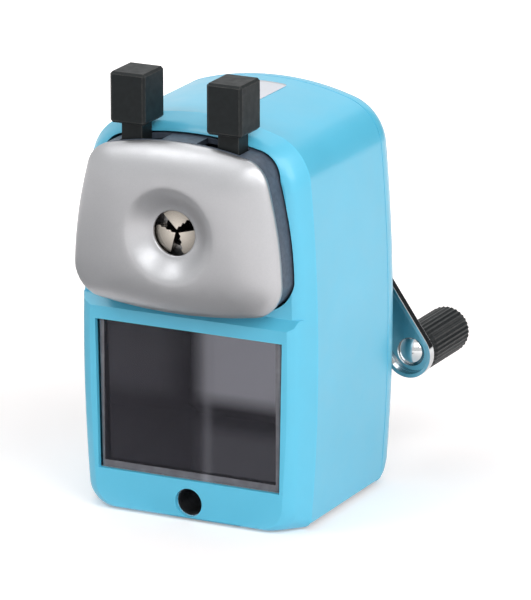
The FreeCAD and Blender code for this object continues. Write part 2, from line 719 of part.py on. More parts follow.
def make_drawer():
    front = FRONT_Y + DRAWER_RECESS
    back = REAR_Y - DRAWER_END_GAP
    body = slab(drawer_section(front, 0.0), back - front)
    upright = []
    for edge in body.Edges:
        across = edge.BoundBox
        if across.ZLength > DRAWER_HEIGHT / 2 and across.YLength < DRAWER_GAP:
            upright.append(edge)
    body = body.makeFillet(DRAWER_CORNER, upright)
    hollow = slab(drawer_section(front + DRAWER_WALL, -DRAWER_WALL), back - front - 2 * DRAWER_WALL)
    mouth = box(-BIG, BIG, front + DRAWER_WALL, back - DRAWER_WALL, DRAWER_TOP_Z - DRAWER_WALL - FIT, BIG)
    wide = CASE_HALF_WIDTH - DRAWER_MARGIN - DRAWER_WALL - DRAWER_TAPER * DRAWER_WALL / DRAWER_HEIGHT
    mouth = mouth.common(box(-wide, wide, -BIG, BIG, -BIG, BIG))
    return body.cut(hollow).cut(mouth)


# Partition, cutter unit and crank

def rod_places():
    return [(-ROD_X, ROD_Z), (ROD_X, ROD_Z)]


def make_inner_frame():
    bottom = DRAWER_TOP_Z + DRAWER_WALL
    inset = 2 * SHEET + 4 * FIT
    plate = slab(barrel(PARTITION_Y, CASE_HALF_WIDTH, CASE_TOP, bottom, 0, inset), PARTITION)
    back = PARTITION_Y + PARTITION
    guide_end = HEAD_FRONT + GUIDE_DEPTH - GUIDE_END_GAP
    body = plate.fuse(rod_y(0, AXIS_Z, GUIDE_RADIUS, back, guide_end))
    for x, z in rod_places():
        body = body.fuse(rod_y(x, z, BUSH_BOSS, back, back + BUSH_BOSS_LENGTH))
    body = body.cut(rod_y(0, AXIS_Z, BORE_RADIUS, PARTITION_Y, guide_end))
    for x, z in rod_places():
        bush = ROD_RADIUS + RUN + BUSH_WALL
        body = body.cut(rod_y(x, z, bush + SEAT, PARTITION_Y, back + BUSH_BOSS_LENGTH))
    return body


def make_rod_bushes():
    back = PARTITION_Y + PARTITION + BUSH_BOSS_LENGTH
    bushes = []
    for x, z in rod_places():
        bush = rod_y(x, z, ROD_RADIUS + RUN + BUSH_WALL, PARTITION_Y, back)
        bush = bush.fuse(rod_y(x, z, BUSH_FLANGE, back, back + BUSH_FLANGE_LENGTH))
        bushes.append(bush.cut(rod_y(x, z, ROD_RADIUS + RUN, PARTITION_Y, back + BUSH_FLANGE_LENGTH)))
    return Part.makeCompound(bushes)


def gear_wire(teeth, tip, root, tip_share, foot_share):
    """Outline of an external gear in the XZ plane about the origin, one tooth pointing down."""
    pitch = 2 * math.pi / teeth
    points = []
    for tooth in range(teeth):
        middle_of_tooth = -math.pi / 2 + tooth * pitch
        for radius, share in ((root, -foot_share), (tip, -tip_share), (tip, tip_share), (root, foot_share)):
            turn = middle_of_tooth + share * pitch / 2
            points.append(V(radius * math.cos(turn), 0, radius * math.sin(turn)))
    return Part.makePolygon(points + points[:1])


def cone_gear(teeth, cone, near, far, tip_modules, root_modules, tip_share, foot_share):
    """Conical gear on the Y axis, between two distances in front of the origin, at which its faces point."""
    sections = []
    for reach in (near, far):
        pitch_radius = reach * math.tan(cone)
        module = 2 * pitch_radius / teeth
        tip = pitch_radius + tip_modules * module
        root = pitch_radius - root_modules * module
        wire = gear_wire(teeth, tip, root, tip_share, foot_share)
        wire.translate(V(0, -reach, 0))
        sections.append(wire)
    return ruled(sections)


def on_cutter_axis(shape):
    """Moves a shape from the Y axis to the cutter axis, its origin to the apex, tilted down at the front."""
    placed = shape.copy()
    placed.rotate(V(0, 0, 0), V(1, 0, 0), CUTTER_TILT)
    placed.translate(V(0, APEX_Y, AXIS_Z))
    return placed


def cutter_rod(radius, near, far):
    """Cylinder on the cutter axis between two distances in front of the apex."""
    return on_cutter_axis(rod_y(0, 0, radius, -far, -near))


def ring_rim():
    """Outer radius of the wall round the internal teeth."""
    widest = (APEX_Y - RING_FRONT_Y) * math.tan(RING_CONE)
    return widest * (1 + 2 * DEDENDUM / RING_TEETH) + UNIT_RIM


def make_ring_gear_housing():
    lug_back = REAR_Y - WALL - FIT
    neck_front = lug_back - LUG_LENGTH
    near = APEX_Y - RING_BACK_Y
    body = rod_y(0, AXIS_Z, ring_rim(), RING_FRONT_Y, neck_front)
    body = body.fuse(rod_y(0, AXIS_Z, UNIT_RADIUS, neck_front, REAR_Y))
    body = body.fuse(rod_y(0, AXIS_Z, UNIT_FLANGE, REAR_Y, UNIT_BACK))
    far = APEX_Y - RING_FRONT_Y
    teeth = cone_gear(RING_TEETH, RING_CONE, near, far, DEDENDUM, ADDENDUM, GAP_FOOT, GAP_MOUTH)
    teeth.translate(V(0, APEX_Y, AXIS_Z))
    body = body.cut(teeth)
    root = near * math.tan(RING_CONE) * (1 + 2 * DEDENDUM / RING_TEETH)
    body = body.cut(rod_y(0, AXIS_Z, root, RING_BACK_Y, HUB_BACK + HUB_END_GAP))
    body = body.cut(rod_y(0, AXIS_Z, BUSH_RADIUS + SEAT, HUB_BACK, UNIT_BACK))
    for lug in bayonet_lugs(UNIT_RADIUS + LUG_REACH, neck_front, lug_back, 0.0, 0.0):
        body = body.fuse(lug)
    for scallop in range(UNIT_SCALLOPS):
        x, z = polar(UNIT_FLANGE + SCALLOP_RADIUS / 2, (scallop + 0.5) * 360.0 / UNIT_SCALLOPS)
        body = body.cut(rod_y(x, z, SCALLOP_RADIUS, REAR_Y, UNIT_BACK))
    return body.removeSplitter()


def make_shaft_bush():
    front = HUB_BACK + HUB_END_GAP
    bush = rod_y(0, AXIS_Z, BUSH_RADIUS, front, UNIT_BACK)
    bush = bush.fuse(rod_y(0, AXIS_Z, BUSH_RIM, UNIT_BACK, BUSH_BACK))
    return bush.cut(rod_y(0, AXIS_Z, SHAFT_RADIUS + RUN, front, BUSH_BACK))


def cutter_room(radius, near, far):
    """Space of a turning piece on the cutter axis, open to the outside of the carrier."""
    return on_cutter_axis(box(-radius, radius, -far, -near, -BIG / 4, radius))


def make_cutter_carrier():
    neck_y = RING_FRONT_Y - CUTTER_RUN - PINION_COLLAR
    body = rod_y(0, AXIS_Z, HEAD_RADIUS, HEAD_FRONT, HEAD_FRONT + FRONT_WALL)
    body = body.fuse(rod_y(0, AXIS_Z, HEAD_RADIUS - WAIST, HEAD_FRONT + FRONT_WALL, neck_y))
    body = body.fuse(rod_y(0, AXIS_Z, HUB_RADIUS, neck_y, HUB_BACK))
    near = CUTTER_BACK - CUTTER_RUN
    body = body.cut(cutter_room(CUTTER_RADIUS + CUTTER_RUN, near, CUTTER_FRONT + CUTTER_RUN))
    pinion_tip = PINION_FRONT * math.tan(PINION_CONE) * (1 + 2 * ADDENDUM / PINION_TEETH)
    body = body.cut(cutter_room(pinion_tip + CUTTER_RUN, PINION_BACK - CUTTER_RUN, CUTTER_BACK))
    cone_length = PENCIL_PATH / math.tan(TILT)
    tip = PENCIL_PATH / PATH_SIDES
    wide_end = ring_y(round_points(0, AXIS_Z, PENCIL_PATH, PATH_SIDES), POINT_Y - cone_length)
    point = flat_sided([wide_end, ring_y(round_points(0, AXIS_Z, tip, PATH_SIDES), POINT_Y)])
    body = body.cut(point).cut(rod_y(0, AXIS_Z, PENCIL_PATH, PARTITION_Y, POINT_Y - cone_length))
    body = body.cut(rod_y(0, AXIS_Z, GUIDE_RADIUS + RUN, HEAD_FRONT, HEAD_FRONT + GUIDE_DEPTH))
    pin_near, pin_far = pin_span()
    body = body.cut(cutter_rod(PIN_RADIUS + SEAT, pin_near, pin_far))
    return body.cut(rod_y(0, AXIS_Z, SHAFT_SPIGOT + SEAT, HUB_BACK - SHAFT_SPIGOT_LENGTH, HUB_BACK))


def pin_span():
    """Ends of the cutter pin, as distances in front of the apex, inside the two walls of the carrier."""
    near = PINION_BACK - CUTTER_RUN - HUB_WALL * 0.7
    far = CUTTER_FRONT + CUTTER_RUN + FRONT_WALL * 0.7
    return near, far


def make_cutter_pin():
    near, far = pin_span()
    return cutter_rod(PIN_RADIUS, near, far)


def make_helical_cutter():
    """Saw-toothed section, twisted along the cutter axis."""
    pitch = 2 * math.pi / CUTTER_TEETH
    sections = []
    for step in range(CUTTER_STEPS + 1):
        share = step / CUTTER_STEPS
        twist = math.radians(CUTTER_TWIST) * share
        points = []
        for tooth in range(CUTTER_TEETH):
            for radius, part_of_pitch in ((CUTTER_ROOT, 0.0), (CUTTER_RADIUS, 0.55), (CUTTER_RADIUS, 0.75)):
                turn = twist + (tooth + part_of_pitch) * pitch
                y = -CUTTER_BACK - CUTTER_LENGTH * share
                points.append(V(radius * math.cos(turn), y, radius * math.sin(turn)))
        sections.append(Part.makePolygon(points + points[:1]))
    body = ruled(sections)
    bore = rod_y(0, 0, PIN_RADIUS + RUN, -CUTTER_FRONT, -CUTTER_BACK)
    return on_cutter_axis(body.cut(bore))


def make_cutter_pinion():
    gear = cone_gear(PINION_TEETH, PINION_CONE, PINION_BACK, PINION_FRONT, ADDENDUM, DEDENDUM,
                     TOOTH_TIP, TOOTH_FOOT)
    root = PINION_FRONT * math.tan(PINION_CONE) * (1 - 2 * DEDENDUM / PINION_TEETH)
    body = gear.fuse(rod_y(0, 0, root, -CUTTER_BACK, -PINION_FRONT))
    return on_cutter_axis(body.cut(rod_y(0, 0, PIN_RADIUS + RUN, -CUTTER_BACK, -PINION_BACK)))


def flatted_rod(radius, flat, y0, y1):
    """Round spigot with two flats."""
    bar = rod_y(0, AXIS_Z, radius, y0, y1)
    return about_axis(bar.common(box(-BIG, BIG, y0, y1, AXIS_Z - flat, AXIS_Z + flat)), CRANK_ANGLE)


def make_crank_shaft():
    body = rod_y(0, AXIS_Z, SHAFT_SPIGOT, HUB_BACK - SHAFT_SPIGOT_LENGTH, HUB_BACK)
    body = body.fuse(rod_y(0, AXIS_Z, SHAFT_RADIUS, HUB_BACK, BUSH_BACK + FIT))
    body = body.fuse(rod_y(0, AXIS_Z, SHAFT_COLLAR, BUSH_BACK + FIT, ARM_WEB))
    body = body.fuse(flatted_rod(ARM_SPIGOT, SPIGOT_FLAT, ARM_WEB, ARM_BACK))
    return body.cut(rod_y(0, AXIS_Z, SCREW_RADIUS, ARM_WEB - BOSS_RADIUS, ARM_BACK))


def teardrop(y, hub, end):
    """Outline of the crank arm: two rounds of different radius with their tangent lines, along +X."""
    slope = math.asin((hub - end) / CRANK_RADIUS)
    hub_x = hub * math.sin(slope)
    hub_z = hub * math.cos(slope)
    end_x = CRANK_RADIUS + end * math.sin(slope)
    end_z = end * math.cos(slope)
    z = AXIS_Z
    return wire_xz(y, (hub_x, z + hub_z), [
        (-hub, z, hub_x, z - hub_z),
        (end_x, z - end_z),
        (CRANK_RADIUS + end, z, end_x, z + end_z),
        (hub_x, z + hub_z),
    ])


def make_crank_arm():
    outer = ruled([
        teardrop(ARM_Y, ARM_HUB, ARM_END),
        teardrop(ARM_BACK - ARM_CHAMFER, ARM_HUB, ARM_END),
        teardrop(ARM_BACK, ARM_HUB - ARM_CHAMFER, ARM_END - ARM_CHAMFER),
    ])
    inner = slab(teardrop(ARM_Y, ARM_HUB - ARM_SHEET, ARM_END - ARM_SHEET), ARM_DEPTH - ARM_SHEET)
    arm = outer.cut(inner)
    arm = arm.cut(rod_y(CRANK_RADIUS, AXIS_Z, RIVET_RADIUS + SEAT, ARM_WEB, ARM_BACK))
    arm = about_axis(arm, CRANK_ANGLE)
    return arm.cut(flatted_rod(ARM_SPIGOT + SEAT, SPIGOT_FLAT + SEAT, ARM_WEB, ARM_BACK))


def make_crank_screw():
    """Domed screw that holds the arm on the flats of the shaft."""
    reach = (CAP_RADIUS ** 2 + CAP_HEIGHT ** 2) / (2 * CAP_HEIGHT)
    ball = Part.makeSphere(reach, V(0, ARM_BACK + CAP_HEIGHT - reach, AXIS_Z))
    head = rod_y(0, AXIS_Z, CAP_RADIUS, ARM_BACK, ARM_BACK + CAP_HEIGHT).common(ball)
    half = SHEET / 2
    slot = box(-CAP_RADIUS, CAP_RADIUS, ARM_BACK + CAP_HEIGHT / 2, BIG, AXIS_Z - half, AXIS_Z + half)
    shank = rod_y(0, AXIS_Z, SCREW_RADIUS - SEAT, ARM_WEB - BOSS_RADIUS + FIT, ARM_BACK)
    return head.cut(slot).fuse(shank)


def make_grip_rivet():
    x, z = polar(CRANK_RADIUS, CRANK_ANGLE)
    reach = (RIVET_HEAD ** 2 + RIVET_DOME ** 2) / (2 * RIVET_DOME)
    ball = Part.makeSphere(reach, V(x, ARM_WEB - RIVET_DOME + reach, z))
    head = rod_y(x, z, RIVET_HEAD, ARM_WEB - RIVET_DOME, ARM_WEB).common(ball)
    end_y = GRIP_BACK - RIVET_END_LENGTH
    shank = rod_y(x, z, RIVET_RADIUS, ARM_WEB, end_y)
    return head.fuse(shank).fuse(rod_y(x, z, RIVET_END, end_y, GRIP_BACK - FIT))


def make_handle_grip():
    """Ribbed grip, drawn in at the arm and rounded at its end."""
    x, z = polar(CRANK_RADIUS, CRANK_ANGLE)

    def section(y, inset):
        points = []
        for step in range(2 * GRIP_RIBS):
            turn = math.pi * step / GRIP_RIBS
            radius = (GRIP_RADIUS - GRIP_RIB_DEPTH * (step % 2)) * (1 - inset / GRIP_RADIUS)
            points.append((x + radius * math.cos(turn), z + radius * math.sin(turn)))
        return ring_y(points, y)

    rings = [
        section(GRIP_Y, GRIP_COLLAR / 2),
        section(GRIP_Y + GRIP_COLLAR / 2, GRIP_RIB_DEPTH),
        section(GRIP_Y + GRIP_COLLAR, 0.0),
    ]
    for inset, drop in quarter_round(GRIP_ROUND, 2):
        rings.append(section(GRIP_BACK - drop, inset))
    body = flat_sided(rings)
    body = body.cut(rod_y(x, z, RIVET_RADIUS + RUN, GRIP_Y, GRIP_BACK))
    return body.cut(rod_y(x, z, RIVET_END + 2 * FIT, GRIP_BACK - RIVET_END_LENGTH - FIT, GRIP_BACK))


# Carriage

def outline_points(scale):
    """Points on the outline of the face plate, scaled about the pencil axis."""
    points = []
    for edge in plate_outline(0.0, 0.0).OrderedEdges:
        for place in edge.discretize(PLATE_POINTS)[:-1]:
            points.append((place.x * scale, AXIS_Z + (place.z - AXIS_Z) * scale))
    return points


def pillow(wall, steps):
    """Domed solid on the outline of the face plate, smaller and lower by a wall."""
    shrink = wall / PLATE_HALF
    rings = [ring_y(outline_points(1 - shrink), PLATE_Y)]
    for step in range(steps):
        turn = math.pi / 2 * step / steps
        scale = PLATE_FLAT + (1 - PLATE_FLAT) * math.cos(turn) ** PLATE_BULGE
        y = PLATE_Y - PLATE_LIP - (PLATE_CROWN - PLATE_LIP) * math.sin(turn) ** PLATE_RISE
        rings.append(ring_y(outline_points(scale - shrink), y + wall * (step > 0)))
    rings.append(ring_y(outline_points(PLATE_FLAT - shrink), PLATE_Y - PLATE_CROWN + wall))
    return flat_sided(rings)


def dish(grow):
    """Turned space of the dish round the pencil hole, with a soft rim."""
    crown = PLATE_Y - PLATE_CROWN
    lip = DISH_RADIUS + DISH_LIP / 2
    profile = [
        (lip + DISH_LIP, crown - DISH_DEPTH / 4),
        (lip, crown + DISH_DEPTH * 0.02),
        (DISH_RADIUS - DISH_LIP / 4, crown + DISH_DEPTH * 0.18),
        (DISH_RADIUS * 0.78, crown + DISH_DEPTH * 0.52),
        (DISH_RADIUS * 0.58, crown + DISH_DEPTH * 0.86),
        (DISH_RADIUS * 0.40, crown + DISH_DEPTH),
    ]
    rings = []
    for radius, y in profile:
        rings.append(ring_y(round_points(0, AXIS_Z, radius + grow, DISH_SIDES), y + grow))
    return flat_sided(rings)


def post_places():
    places = []
    for x, rise in (UPPER_POST, LOWER_POST):
        places.append((-x, AXIS_Z + rise))
        places.append((x, AXIS_Z + rise))
    return places


def make_face_plate():
    inner = CARRIAGE_BACK - HOUSING_BACK
    body = pillow(0.0, PLATE_STEPS).cut(dish(0.0))
    body = body.cut(pillow(PLATE_WALL, PLATE_STEPS // 2).cut(dish(PLATE_WALL)))
    for x, z in post_places():
        body = body.fuse(rod_y(x, z, POST_RADIUS, PLATE_Y - PLATE_CROWN + PLATE_WALL, inner))
    for x, z in post_places():
        body = body.cut(rod_y(x, z, POST_SCREW + SEAT, inner - POST_GRIP, inner))
    return body.cut(rod_y(0, AXIS_Z, PENCIL_HOLE, -BIG, BIG)).removeSplitter()


def make_carriage_housing():
    inset = MOUTH_INSET + HOUSING_GAP
    inside = CARRIAGE_BACK - HOUSING_BACK
    outer = slab(plate_outline(PLATE_Y, inset, MOUTH_LIFT), CARRIAGE_BACK - PLATE_Y)
    hollow = slab(plate_outline(PLATE_Y, inset + HOUSING_WALL, MOUTH_LIFT), inside - PLATE_Y)
    body = outer.cut(hollow)
    for x, z in rod_places():
        body = body.fuse(rod_y(x, z, ROD_BOSS, inside - ROD_BOSS_LENGTH, inside))
    body = body.common(outer)
    for x, z in rod_places():
        body = body.cut(rod_y(x, z, ROD_RADIUS + SEAT, inside - ROD_BOSS_LENGTH, CARRIAGE_BACK))
    for x, z in post_places():
        body = body.cut(rod_y(x, z, POST_SCREW + FIT, inside, CARRIAGE_BACK))
        body = body.cut(rod_y(x, z, POST_HEAD + FIT, CARRIAGE_BACK - HEAD_SEAT, CARRIAGE_BACK))
    body = body.cut(rod_y(0, AXIS_Z, SLEEVE_RADIUS + SEAT, inside, CARRIAGE_BACK))
    for slot in (stem_slot(), mirrored(stem_slot())):
        body = body.cut(slot)
    return body


def stem_slot():
    """Opening in the top of the housing for the swing of the left tab."""
    front = STEM_Y - SLOT_GAP
    rise = PLATE_TOP + HOUSING_WALL
    swing = rise * math.sin(math.radians(PINCH))
    left = -ARM_X - STEM_WIDTH / 2 - SLOT_GAP
    right = -ARM_X + STEM_WIDTH / 2 + swing + 2 * SLOT_GAP
    low = AXIS_Z + PLATE_TOP - STEM_DROP
    return box(left, right, front, front + STEM_DEPTH + 2 * SLOT_GAP, low, AXIS_Z + rise)


def make_carriage_screws():
    seat = CARRIAGE_BACK - HEAD_SEAT
    tip = CARRIAGE_BACK - HOUSING_BACK - POST_GRIP + FIT
    screws = []
    for x, z in post_places():
        head = polygon_y(round_points(x, z, POST_HEAD, SCREW_SIDES), seat, CARRIAGE_BACK - FIT)
        screws.append(head.fuse(polygon_y(round_points(x, z, POST_SCREW, SCREW_SIDES), tip, seat)))
    return Part.makeCompound(screws)


def make_guide_rods():
    front = CARRIAGE_BACK - HOUSING_BACK - ROD_BOSS_LENGTH
    rods = []
    for x, z in rod_places():
        rods.append(rod_y(x, z, ROD_RADIUS, front, ROD_BACK))
    return Part.makeCompound(rods)


def make_rod_clips():
    back = ROD_BACK - CLIP_INSET
    clips = []
    for x, z in rod_places():
        clips.append(tube_y(x, z, CLIP_RADIUS, ROD_RADIUS + SEAT, back - CLIP_LENGTH, back))
    return Part.makeCompound(clips)


def coil(radius, wire, length, turns, label):
    """Compression spring about the Y axis, from the origin: a four-sided wire, ruled between sections."""
    rise = (length - 2 * wire) / turns
    sections = []
    for step in range(turns * SPRING_STEPS + 1):
        turn = 2 * math.pi * step / SPRING_STEPS
        out = V(math.cos(turn), 0, math.sin(turn))
        centre = out * radius + V(0, wire + rise * step / SPRING_STEPS, 0)
        side = V(0, wire, 0)
        corners = [centre + out * wire, centre + side, centre - out * wire, centre - side]
        sections.append(Part.makePolygon(corners + corners[:1]))
    print(label, "least gap between turns", round(rise - 2 * wire, 2))
    return ruled(sections)


def make_return_springs():
    start = PARTITION_Y + PARTITION + BUSH_BOSS_LENGTH + BUSH_FLANGE_LENGTH + FIT
    end = ROD_BACK - CLIP_INSET - CLIP_LENGTH - FIT
    radius = ROD_RADIUS + SPRING_GAP + SPRING_WIRE
    spring = coil(radius, SPRING_WIRE, end - start, SPRING_TURNS, "return spring")
    springs = []
    for x, z in rod_places():
        copy = spring.copy()
        copy.translate(V(x, start, z))
        springs.append(copy)
    return Part.makeCompound(springs)


def make_pencil_sleeve():
    """Stepped tube in the back of the housing; the two jaw plates turn on its thin end."""
    front = LEFT_PLATE_Y
    body = rod_y(0, AXIS_Z, SLEEVE_RADIUS, front, CARRIAGE_BACK)
    body = body.fuse(rod_y(0, AXIS_Z, SLEEVE_STEP, SLEEVE_SHOULDER_Y, CARRIAGE_BACK - HOUSING_BACK))
    return body.cut(rod_y(0, AXIS_Z, BORE_RADIUS, front, CARRIAGE_BACK))


# Jaws and tabs

def drive_turn():
    """Turn of a jaw on its plate while the two plates close on each other, in degrees."""
    half = math.radians(PINCH)
    return 2 * math.degrees(math.atan2(JAW_DRIVE * math.sin(half), JAW_DRIVE * math.cos(half) - JAW_PIVOT))


def ring_plate(y, arm_x):
    """Ring round the pencil sleeve with an upright arm for its tab."""
    ring = rod_y(0, AXIS_Z, RING_RADIUS, y, y + PLATE_THICK)
    top = AXIS_Z + TAB_LIFT - STEM_CAP
    arm = box(arm_x - ARM_WIDTH / 2, arm_x + ARM_WIDTH / 2, y, y + PLATE_THICK, AXIS_Z, top)
    body = ring.fuse(arm).removeSplitter()
    nib = spring_nib(y, arm_x, 0.0)
    return body.fuse(nib).removeSplitter().cut(rod_y(0, AXIS_Z, SLEEVE_RADIUS + RUN, y, y + PLATE_THICK))


def spring_nib(y, arm_x, grow):
    """Nib of half the thickness on the inner edge of an arm, inside the jaw spring."""
    inner = arm_x - math.copysign(ARM_WIDTH / 2, arm_x)
    tip = inner - math.copysign(NIB_LENGTH, arm_x)
    near = y + PLATE_THICK / 2 if y == LEFT_PLATE_Y else y
    z = AXIS_Z + TAB_LIFT - NIB_DROP
    half = NIB_HALF + grow
    x0 = min(inner, tip)
    return box(x0, x0 + NIB_LENGTH, near - grow, near + PLATE_THICK / 2 + grow, z - half, z + half)


def make_jaw_plate_left():
    body = ring_plate(LEFT_PLATE_Y, -ARM_X)
    y0 = LEFT_PLATE_Y
    y1 = y0 + PLATE_THICK
    slot_radius = DRIVE_PIN + DRIVE_SLACK
    band = tube_y(0, AXIS_Z, JAW_DRIVE + slot_radius, JAW_DRIVE - slot_radius, y0, y1)
    for angle in JAW_ANGLES:
        x, z = polar(JAW_PIVOT, angle)
        body = body.cut(rod_y(x, z, PIVOT_PIN + SEAT, y0, y1))
        far_a = polar(2 * RING_RADIUS, angle - PINCH)
        far_b = polar(2 * RING_RADIUS, angle + PINCH)
        slot = band.common(polygon_y([(0, AXIS_Z), far_a, far_b], y0, y1))
        for end in (angle - PINCH, angle + PINCH):
            x, z = polar(JAW_DRIVE, end)
            slot = slot.fuse(rod_y(x, z, slot_radius, y0, y1))
        body = body.cut(slot)
    return body


def make_jaw_plate_right():
    body = ring_plate(RIGHT_PLATE_Y, ARM_X)
    for angle in JAW_ANGLES:
        x, z = polar(JAW_DRIVE, angle - PINCH)
        body = body.cut(rod_y(x, z, DRIVE_PIN + SEAT, RIGHT_PLATE_Y, RIGHT_PLATE_Y + PLATE_THICK))
    return body


def make_jaw_pins():
    pins = []
    for angle in JAW_ANGLES:
        x, z = polar(JAW_PIVOT, angle)
        pins.append(rod_y(x, z, PIVOT_PIN, JAW_Y + JAW_SPACE, LEFT_PLATE_Y + PLATE_THICK))
    return Part.makeCompound(pins)


def make_drive_pins():
    pins = []
    for angle in JAW_ANGLES:
        x, z = polar(JAW_DRIVE, angle - PINCH)
        pins.append(rod_y(x, z, DRIVE_PIN, JAW_Y + JAW_SPACE, RIGHT_PLATE_Y + PLATE_THICK))
    return Part.makeCompound(pins)


def make_jaw(angle):
    """Jaw along +X, then turned to its place: a toothed wedge, the eye of its pivot and a slotted tail."""
    flank = math.tan(math.radians(JAW_FLANK))
    step = JAW_REACH / 4
    lower = []
    for tooth in range(4):
        x = JAW_TIP + tooth * step
        lower.append((x, AXIS_Z - tooth * step * flank))
        lower.append((x + step, AXIS_Z - tooth * step * flank - step * flank * 0.45))
    heel = (JAW_TIP + JAW_REACH, AXIS_Z - JAW_REACH * flank * 0.85)
    upper = [(JAW_TIP + JAW_REACH, AXIS_Z + JAW_REACH * flank * 0.85)]
    back = [(JAW_PIVOT, AXIS_Z - JAW_EYE), (JAW_PIVOT, AXIS_Z + JAW_EYE)]
    y1 = JAW_Y + JAW_THICK
    body = polygon_y(lower[:-1] + [heel] + back + upper, JAW_Y, y1)
    body = body.fuse(rod_y(JAW_PIVOT, AXIS_Z, JAW_EYE, JAW_Y, y1))
    half = drive_turn() / 2
    reach = JAW_DRIVE - JAW_PIVOT + RING_RIM / 2
    tail = box(0, reach, JAW_Y, y1, -JAW_EYE * 0.8, JAW_EYE * 0.8)
    slot_half = DRIVE_PIN + DRIVE_SLACK
    near = JAW_EYE
    slot = box(near + slot_half, reach + RING_RIM, JAW_Y, y1, -slot_half, slot_half)
    slot = slot.fuse(rod_y(near + slot_half, 0, slot_half, JAW_Y, y1))
    for piece in (tail, slot):
        piece.rotate(V(0, 0, 0), V(0, -1, 0), -half)
        piece.translate(V(JAW_PIVOT, 0, AXIS_Z))
    body = body.fuse(tail).cut(slot)
    body = body.cut(rod_y(JAW_PIVOT, AXIS_Z, PIVOT_PIN + RUN, JAW_Y, y1))
    return about_axis(body.removeSplitter(), angle)


def make_tab(x, plate_y):
    """Pinch tab: a square head on a stem that is moulded over the steel arm of its plate."""
    top = AXIS_Z + TAB_LIFT
    head = box(x - TAB_WIDTH / 2, x + TAB_WIDTH / 2, TAB_Y, TAB_Y + TAB_DEPTH, top, top + TAB_HEIGHT)
    head = head.makeChamfer(TAB_CHAMFER, head.Edges)
    left = x - STEM_WIDTH / 2
    stem = box(left, left + STEM_WIDTH, STEM_Y, STEM_Y + STEM_DEPTH, top - STEM_DROP, top + TAB_CHAMFER)
    arm = ARM_WIDTH / 2 + SEAT
    socket = box(x - arm, x + arm, plate_y - SEAT, plate_y + PLATE_THICK + SEAT, 0, top - STEM_CAP + SEAT)
    return head.fuse(stem).cut(socket).cut(spring_nib(plate_y, x, SEAT))


def make_jaw_spring():
    """Spring between the arms of the two plates, which keeps the jaws closed."""
    seat = ARM_X - STEM_WIDTH / 2 - FIT
    radius = math.hypot(NIB_HALF, (PLATE_THICK + PLATE_SPACE) / 2) + JAW_SPRING_WIRE + FIT / 2
    spring = coil(radius, JAW_SPRING_WIRE, 2 * seat, JAW_SPRING_TURNS, "jaw spring")
    spring.rotate(V(0, 0, 0), V(0, 0, 1), -90)
    spring.translate(V(-seat, LEFT_PLATE_Y + PLATE_THICK + PLATE_SPACE / 2, AXIS_Z + TAB_LIFT - NIB_DROP))
    return spring


def make_all():
    pieces = {
        "front_frame": make_front_frame(),
        "main_sleeve": make_main_sleeve(),
        "rear_cover": make_rear_cover(),
        "base_plate": make_base_plate(),
        "rubber_feet": make_rubber_feet(),
        "case_screws": make_case_screws(),
        "drawer_shelf": make_drawer_shelf(),
        "clamp_socket": make_clamp_socket(),
        "drawer": make_drawer(),
        "inner_frame": make_inner_frame(),
        "rod_bushes": make_rod_bushes(),
        "ring_gear_housing": make_ring_gear_housing(),
        "shaft_bush": make_shaft_bush(),
        "cutter_carrier": make_cutter_carrier(),
        "cutter_pin": make_cutter_pin(),
        "helical_cutter": make_helical_cutter(),
        "cutter_pinion": make_cutter_pinion(),
        "crank_shaft": make_crank_shaft(),
        "crank_arm": make_crank_arm(),
        "crank_screw": make_crank_screw(),
        "grip_rivet": make_grip_rivet(),
        "handle_grip": make_handle_grip(),
        "face_plate": make_face_plate(),
        "carriage_housing": make_carriage_housing(),
        "carriage_screws": make_carriage_screws(),
        "guide_rods": make_guide_rods(),
        "rod_clips": make_rod_clips(),
        "return_springs": make_return_springs(),
        "pencil_sleeve": make_pencil_sleeve(),
        "jaw_plate_left": make_jaw_plate_left(),
        "jaw_plate_right": make_jaw_plate_right(),
        "jaw_pins": make_jaw_pins(),
        "drive_pins": make_drive_pins(),
        "tab_left": make_tab(-ARM_X, LEFT_PLATE_Y),
        "tab_right": make_tab(ARM_X, RIGHT_PLATE_Y),
        "jaw_spring": make_jaw_spring(),
    }
    for name, angle in zip(JAW_NAMES, JAW_ANGLES):
        pieces[name] = make_jaw(angle)
    return pieces


def main():
    os.makedirs("parts", exist_ok=True)
    for name, shape in make_all().items():
        shape.exportStep("parts/" + name + ".step")


if __name__ == "__main__":
    main()
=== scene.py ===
# Crank pencil sharpener: finishes, trim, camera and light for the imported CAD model, in metres
import math

